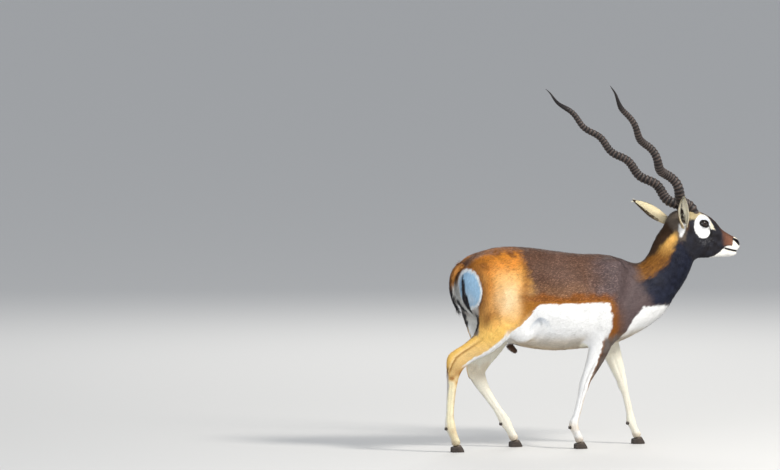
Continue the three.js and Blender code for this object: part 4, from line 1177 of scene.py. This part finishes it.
COAT = {
    # piece: hairs per square mm, length, width, lift in degrees, slot
    "torso_right": (.115, 11, 1.5, 9, "dark_coat"),
    "torso_left": (.115, 11, 1.5, 9, "dark_coat"),
    "neck": (.15, 11, 1.3, 10, "dark_coat"),
    "head": (.36, 5.2, .85, 9, "dark_coat"),
    "right_hind": (.20, 7.5, 1.1, 8, "tan_coat"),
    "left_hind": (.20, 7.5, 1.1, 8, "tan_coat"),
    "right_fore": (.20, 7.5, 1.1, 8, "pale_coat"),
    "left_fore": (.20, 7.5, 1.1, 8, "pale_coat"),
    "tail": (.22, 20, 1.6, 4, "dark_coat"),
}
GREY_HAIRS, GREY = .30, (.038, .025, .016)
for kind, (density, length, width, lift, slot_name) in COAT.items():
    p, n = scatter(region == kind, density)
    if kind == "head":
        free = clear_of_face(p)
        p, n = p[free], n[free]
        h, _, z = to_head(p).T
        length = length - 2.4 * step(h, 120, 225)
        length *= 1 - .4 * step(np.hypot((h - 84) / 38, (z - 18) / 47), 1.1, .8)
        length += 2.5 * step(h, 10, -30)
        width = np.where(h > 150, .7, width)
    elif kind in LEG_ROWS:
        above_hoof = p[:, 2] > 30
        p, n = p[above_hoof], n[above_hoof]
        thigh = step(p[:, 2], 250, 420)
        length, width = 5 + 4 * thigh, .9 + .5 * thigh
    elif kind == "tail":
        length = length + 26 * step(p[:, 2], 560, 525)
    elif kind != "neck":
        patch = np.hypot((np.abs(p[:, 1]) - 47) / 36, (p[:, 2] - 603) / 84)
        length = length + 5 * step(patch, 1.1, .7) * (p[:, 0] < -300)
    v, spot = lie(kind, p, n)
    tone = markings(p, n)
    bright = tone.mean(1)
    tone = tone * np.exp(rng.normal(0, .13, len(p)) * np.clip(1.3 - bright * 1.4, .25, 1))[:, None]
    grey = (rng.random(len(p)) < GREY_HAIRS) & (bright < .13) & (p[:, 0] < 200) & (p[:, 2] > 540)
    tone[grey] = tone[grey] * 1.75 + GREY
    hair("coat_" + kind, slot_name, spot, *blades(p, n, v, length, width, lift, tone))


def loft(rings):
    """Closed form through rings of the same number of points, with a point in the middle of each end."""
    rows, sides = rings.shape[:2]
    i, j = np.meshgrid(np.arange(rows - 1) * sides, np.arange(sides), indexing="ij")
    k = (j + 1) % sides
    quads = np.stack([i + j, i + k, i + sides + k, i + sides + j], -1).reshape(-1, 4)
    s = np.arange(sides)
    after, last, end = (s + 1) % sides, (rows - 1) * sides, np.full(sides, rows * sides)
    tri = np.vstack([
        quads[:, [0, 1, 2]], quads[:, [0, 2, 3]], np.stack([end, after, s], 1),
        np.stack([end + 1, last + s, last + after], 1),
    ])
    pts = np.vstack([rings.reshape(-1, 3), rings[0].mean(0), rings[-1].mean(0)])
    a, b, c = (pts[tri[:, n]] for n in range(3))
    return pts, tri[:, ::-1] if (np.cross(a, b) * c).sum() < 0 else tri


def capped(tone, tip=1):
    """Tones of a lofted form, with those of its two end points."""
    tone = tone.reshape(-1, 3)
    return np.vstack([tone, tone[:1], tone[-1:] * tip])


def join(parts):
    """Several meshes as one: points, faces, and anything that goes with the points."""
    rows = [np.vstack(row) for row in zip(*parts)]
    starts = np.cumsum([0] + [len(part[0]) for part in parts])
    rows[1] = np.vstack([part[1] + start for part, start in zip(parts, starts)])
    return rows


def grid_noise(size, seed, *axes):
    return noise(np.stack(np.broadcast_arrays(*axes), -1), size, seed)


# Horns, ringed nearly to their smooth tips
RINGED, RINGS, HORN_SIDES = .86, 48, 26
HORN_DARK, HORN_CREST = (.013, .009, .009), (.085, .060, .048)


def horn_line(side, t):
    h = HORNS[side]
    root, tip = np.array(h["root"], float), np.array(h["tip"], float)
    along = tip - root
    outward = unit(np.array([0, side, 0]) - side * along[1] / (along @ along) * along)
    forward = unit(np.cross(outward, along) * side)
    if forward[0] < 0:
        forward = -forward
    t = t[:, None]
    angle = math.radians(h["phase"]) + 2 * math.pi * h["turns"] * t
    size = (h["wave"][0] + (h["wave"][1] - h["wave"][0]) * t)
    size = size * np.minimum(1, t / .05) * np.minimum(1, (1 - t) / .06)
    back = h["bow"] * 4 * t * (1 - t) * (1 + h["skew"] * (1 - 2 * t))
    return root + along * t + forward * (back + size * np.cos(angle)) + outward * size * np.sin(angle)


def horn_size(t):
    return HORN_BASE * (1 - .62 * t ** 1.25) * np.minimum(1, (np.maximum(1 - t, 0) / .16) ** .72)


for side, name in ((RIGHT, "horn_right"), (LEFT, "horn_left")):
    t = np.concatenate([np.linspace(0, RINGED, RINGS * 7, endpoint=False), np.linspace(RINGED, .9985, 36)])
    way = unit(horn_line(side, t + .003) - horn_line(side, t - .003 * (t > .003)))
    across = unit(np.array([0, 1, 0]) - way[:, 1:2] * way)
    up = np.cross(way, across)
    a = circle(HORN_SIDES)
    rings_up = ((t / RINGED) ** (1 / .97) * RINGS)[:, None]
    fade = step(t, RINGED + .01, RINGED - .05)[:, None]
    wobble = grid_noise(1.7, 70 + side, rings_up * 3, 2 * np.cos(a), 2 * np.sin(a))
    crest = (.5 + .5 * np.cos(2 * np.pi * (rings_up + .06 * wobble))) ** 1.4
    r = horn_size(t)[:, None] * (1 + fade * (-.065 + .15 * crest) * (1 + .25 * wobble) + .012 * wobble)
    rings = horn_line(side, t)[:, None] + across[:, None] * (r * np.cos(a))[..., None]
    rings = rings + up[:, None] * (r * np.sin(a))[..., None]
    pts, faces = loft(from_head(np.vstack([rings[:1] - way[0] * 16, rings])))
    raised = np.vstack([crest[:1] * 0, crest * fade])
    tone = np.array(HORN_DARK) + raised[..., None] ** 2 * np.array(HORN_CREST)
    tone = tone * (.8 + .35 * noise(pts[:-2], 22, 74).reshape(raised.shape + (1,)))
    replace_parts(build(name + "_rings", pts, faces, HORN, np.clip(capped(tone, .6), .004, .6)), name)

# Ears, cupped leaves with hair inside: share of the length, radius, half angle of the leaf round it
EAR_SHAPE = np.array([
    (0, 13.5, 150), (.08, 14.5, 142), (.18, 17, 122), (.3, 20.5, 98), (.44, 23.5, 80), (.58, 24, 68),
    (.71, 21.5, 58), (.82, 17, 50), (.91, 11.5, 42), (.97, 6.5, 34), (1, 3, 28),
])
# The side whose edge is dark as well: only the left ear shows one
EAR_DARK_SIDE = {"right": 0, "left": 1}
EAR_BACK, EAR_RIM, EAR_ROOT = (.84, .71, .47), (.045, .026, .014), (.18, .12, .07)
EAR_FRONT, EAR_LINE = (.84, .79, .68), (.022, .014, .011)
# Hairs: number, lift in degrees, colour, colour of the dark ones, middle of their band on the unwrap
EAR_HAIRS = {
    "back": (4200, 8, (.84, .72, .48), (.060, .034, .018), .25),
    "in": (2600, 14, (.88, .80, .64), (.03, .022, .018), .75),
}


def ear_dark(t, s):
    """Dark line down the middle of the ear's hollow, wider and blotched near the root."""
    spots = grid_noise(.8, 80, s * 2.6, t * 9, 0)
    wide = line(t, [(0, .42), (.35, .34), (.55, .13), (.95, .05)])
    middle = np.abs(s + .10 * spots) + .22 * spots * step(t, .6, .4)
    return step(middle, wide + .06, wide - .06) * step(t, .97, .9)


def ear_radius(t):
    return np.interp(t, EAR_SHAPE[:, 0], EAR_SHAPE[:, 1])


def ear_limit(t):
    return np.radians(np.interp(t, EAR_SHAPE[:, 0], EAR_SHAPE[:, 2]))


def ear_thick(t):
    return EAR["thick"] * (1 - .45 * t) - .4


def ear_point(e, t, a, deep):
    """Point of the ear at share t of its length, at angle a from its back, this deep below its outside."""
    axis = unit(e["along"])
    opening = np.array(e["facing"], float)
    opening = unit(opening - (opening @ axis) * axis)
    r = ear_radius(t)
    centre = np.array(e["root"], float) + axis * (t * EAR["length"] * e["long"])[..., None]
    centre = centre + opening * (r * .35 - 5 * np.sin(np.pi * t))[..., None]
    r = (r - deep)[..., None]
    return centre - opening * r * np.cos(a)[..., None] + np.cross(axis, opening) * r * np.sin(a)[..., None]


for which, e in EARS.items():
    t, s = np.meshgrid(1 - (1 - np.linspace(0, 1, 44)) ** 1.25, np.linspace(-1, 1, 17), indexing="ij")
    outer = ear_point(e, t, s * ear_limit(t), .5)
    inner = ear_point(e, t, s[:, ::-1] * ear_limit(t), ear_thick(t))
    pts, faces = loft(from_head(np.concatenate([outer, inner], axis=1)))
    rim = np.clip(step(np.abs(s), .80, .97) * step(t, .25, .5) + step(t, .93, .99), 0, 1)
    rim = np.maximum(rim, .9 * step(s * EAR_DARK_SIDE[which], .45, .85) * step(t, .30, .50))
    back = mix(mix(flat(EAR_BACK, t), EAR_RIM, rim * .9), EAR_ROOT, step(t, .20, .04) * .5)
    streak = grid_noise(.55, 80, s * 3.2, t * 2.2, 0)
    lines = step(np.abs(np.abs(s) - .62 + .10 * streak), .08, .03) * band(t, .18, .3, .6, .8)
    front = mix(flat(EAR_FRONT, t), EAR_LINE, np.maximum(ear_dark(t, s), .45 * lines))
    tone = capped(np.concatenate([back, front[:, ::-1]], axis=1))
    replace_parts(build("ear_" + which + "_leaf", pts, faces, SKIN, tone), "ear_" + which)
    # short hair on the back, longer hair from the edges over the hollow
    made = []
    for layer, (number, lift, colour, dark_colour, row) in EAR_HAIRS.items():
        inside = layer == "in"
        t = rng.uniform(.02, .99, number) ** .9
        s = rng.uniform(-1, 1, number)
        if inside:
            s = np.sign(s) * np.abs(s) ** .45
        angle, deep = s * ear_limit(t), ear_thick(t) if inside else .5
        root = ear_point(e, t, angle, deep)
        along = unit(ear_point(e, t + .01, angle, deep) - root)
        across = unit(ear_point(e, t, angle + .02, deep) - root)
        normal = unit(np.cross(along, across))
        outward = root - ear_point(e, t, angle, ear_radius(t))
        normal = np.where(((normal * outward).sum(1) > 0)[:, None] != inside, normal, -normal)
        long = 6.5
        if inside:
            along = unit(along - .55 * np.sign(s)[:, None] * across)
            long = 9 + 6 * rng.random(number)
        tone = flat(colour, t)
        if inside:
            tone[rng.random(number) < .85 * ear_dark(t, s)] = dark_colour
        else:
            edge = (np.abs(s) > .82) | (t > .94)
            dark = (edge & (t > .4)) | ((s * EAR_DARK_SIDE[which] > .5) & (t > .25)) | (t > .92)
            tone[dark] = dark_colour
            tone[t < .15] *= .6
        tone = tone * np.exp(rng.normal(0, .12, number))[:, None]
        hairs = blades(from_head(root), normal @ HEAD_TURN.T, along @ HEAD_TURN.T, long, .8, lift, tone)
        made.append(hairs + (np.stack([.02 + .96 * t, row + .23 * s], 1),))
    *hairs, spot = join(made)
    hair("coat_ear_" + which, "pale_coat", spot, *hairs)

# Eyes, with a bulged cornea and a level oval pupil
EYE_DARK, IRIS, PUPIL = (.012, .008, .007), np.array((.018, .008, .004)), (.003, .003, .004)
LASH = (.012, .009, .008)
LASHES = slice(4, 42)
for side, which in ((RIGHT, "right"), (LEFT, "left")):
    centre, facing, level, up, _ = almond(side)
    polar = np.concatenate([np.linspace(0, 50, 34), np.linspace(53, 180, 30)])[:, None]
    around = circle(64)
    r = EYE["radius"] - .15 + .75 * step(polar, 36, 18)
    a = np.radians(polar)[..., None]
    d = np.cos(a) * facing + np.sin(a) * (np.cos(around)[:, None] * level + np.sin(around)[:, None] * up)
    pts, faces = loft(from_head(centre + d * r[..., None]))
    x, y = polar * np.cos(around), polar * np.sin(around)
    rays = grid_noise(.3, 90, around * 6, np.radians(polar) * 3, 0)
    tone = mix(flat(EYE_DARK, x), IRIS * (1 + .35 * rays[..., None]), step(np.hypot(x, y), 34, 31))
    tone = capped(mix(tone, PUPIL, step(np.hypot(x / 17, y / 9.5), 1.1, .9)))
    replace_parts(build("eyeball_" + which, pts, faces, EYE_WET, tone), "eye_" + which)
    # lashes along the upper lid
    rim = np.repeat(almond(side, 90)[4][LASHES], 3, axis=0)
    rim = unit(rim + rng.normal(0, .006, rim.shape))
    count = len(rim)
    root = centre + rim * (EYE["radius"] + LID["out"] + LID["thick"] * .8)
    normal = unit(rim + .8 * up)
    v = unit(rim * .9 - .30 * up + .35 * level * rng.normal(0, 1, (count, 1)))
    spot = np.stack([np.linspace(.05, .95, count), np.full(count, .5)], 1)
    tone = flat(LASH, spot[:, 0])
    lashes = blades(from_head(root), normal @ HEAD_TURN.T, v @ HEAD_TURN.T, 6.5, .35, 22, tone)
    hair("lashes_" + which, "dark_coat", spot, *lashes)

# Hooves: share of the height, length, width and shift, then their colours
HOOF_ROWS = np.array([
    (0, .97, .95, 0), (.04, 1, 1, 0), (.18, 1, 1, -.5), (.62, .84, .97, -4), (.9, .72, .93, -6.4),
    (1, .68, .88, -7),
])
HOOF_DARK, HOOF_TOP = np.array((.040, .028, .021)), (.16, .11, .07)
DEW_CLAW = (4.8, 3.8, 7)


def hoof(x0, y0, inner):
    share = np.concatenate([[0, .02, .05], np.linspace(.1, 1, 14)])
    long, wide, shift = (np.interp(share, HOOF_ROWS[:, 0], HOOF_ROWS[:, i])[:, None] for i in (1, 2, 3))
    a = circle(36)[None]
    x = x0 + shift + HOOF["half"] * long * np.cos(a)
    narrow = 1 - .38 * np.maximum(np.cos(a), 0) ** 2
    y = y0 + inner * HOOF["apart"] + HOOF["wide"] * wide * narrow * np.sin(a)
    return loft(np.stack([x, y, share[:, None] * (HOOF["top"] + HOOF["slope"] * (x - x0))], -1))


def dew_claw(ankle, hand):
    u, v = np.linspace(.02, np.pi - .02, 12)[:, None], circle(18)
    ball = [np.sin(u) * np.cos(v), np.sin(u) * np.sin(v), -np.cos(u)]
    ball = np.stack(np.broadcast_arrays(*ball), -1) * DEW_CLAW
    ball[..., 0] += 2.5 / 9 * np.minimum(ball[..., 2], 0)
    return loft(ball + np.array([ankle[0] - ankle[3] + 4.5, ankle[1] + 6.5 * hand, ankle[2] - 9]))


for name, leg in LEGS.items():
    parts = [hoof(*leg["hoof"], inner) for inner in (-1, 1)]
    pts, faces = join(parts + [dew_claw(leg["stations"][-3], hand) for hand in (-1, 1)])
    z = pts[:, 2]
    bands = .5 + .5 * np.sin(z / 1.15 + 1.5 * noise(pts, 14, 95))
    tone = HOOF_DARK * (.75 + .45 * bands)[:, None] * (1 + .3 * noise(pts, 9, 96))[:, None]
    tone = mix(tone, HOOF_TOP, .5 * step(z, 17, 27) * (z < 45))
    made = build(name + "_hooves", pts, faces, HOOF_HORN, np.clip(tone, .004, .5))
    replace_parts(made, name + "_hoof_outer", name + "_hoof_inner")

# Floor, light and camera
plain = bpy.data.materials.new("floor")
plain.use_nodes = True
shader = plain.node_tree.nodes["Principled BSDF"]
shader.inputs["Base Color"].default_value = (.56, .555, .545, 1)
shader.inputs["Roughness"].default_value = .9
bpy.ops.mesh.primitive_plane_add(size=260)
floor = bpy.context.object
floor.name = "floor"
floor.data.materials.append(plain)

world = bpy.data.worlds.new("studio")
bpy.context.scene.world = world
world.use_nodes = True
sky = world.node_tree.nodes["Background"]
sky.inputs["Color"].default_value = (.86, .90, .96, 1)
sky.inputs["Strength"].default_value = .66


def lamp(name, at, size, power, colour):
    data = bpy.data.lights.new(name, "AREA")
    data.size = size
    data.energy = power
    data.color = colour
    made = bpy.data.objects.new(name, data)
    made.location = at
    made.rotation_euler = (Vector((0, 0, .55)) - Vector(at)).to_track_quat("-Z", "Y").to_euler()
    bpy.context.scene.collection.objects.link(made)


lamp("key", (3.4, -4.2, 5.0), 1.5, 560, (1, .965, .90))
lamp("fill", (-3.5, -5.0, 2.2), 3.5, 100, (.92, .96, 1))
lamp("far", (1.5, 5.5, 4.0), 3.0, 140, (1, .98, .94))

bpy.context.scene.view_settings.view_transform = "Standard"

# The photograph's side: 18 degrees round to the front from square on, 4 degrees up, from far off
AZIMUTH, ELEVATION, AWAY, FRAME_WIDE = math.radians(18), math.radians(4), 60.0, 2.919
AIM = (-589, 250, 793)
level = math.cos(ELEVATION)
look = Vector((math.sin(AZIMUTH) * level, math.cos(AZIMUTH) * level, -math.sin(ELEVATION)))
camera = bpy.data.objects.new("camera", bpy.data.cameras.new("camera"))
camera.data.sensor_width = 36
camera.data.lens = 36 * AWAY / FRAME_WIDE
camera.data.clip_start = 1
camera.data.clip_end = 400
camera.location = Vector(metres(AIM)) - look * AWAY
camera.rotation_euler = look.to_track_quat("-Z", "Y").to_euler()
bpy.context.scene.collection.objects.link(camera)
bpy.context.scene.camera = camera
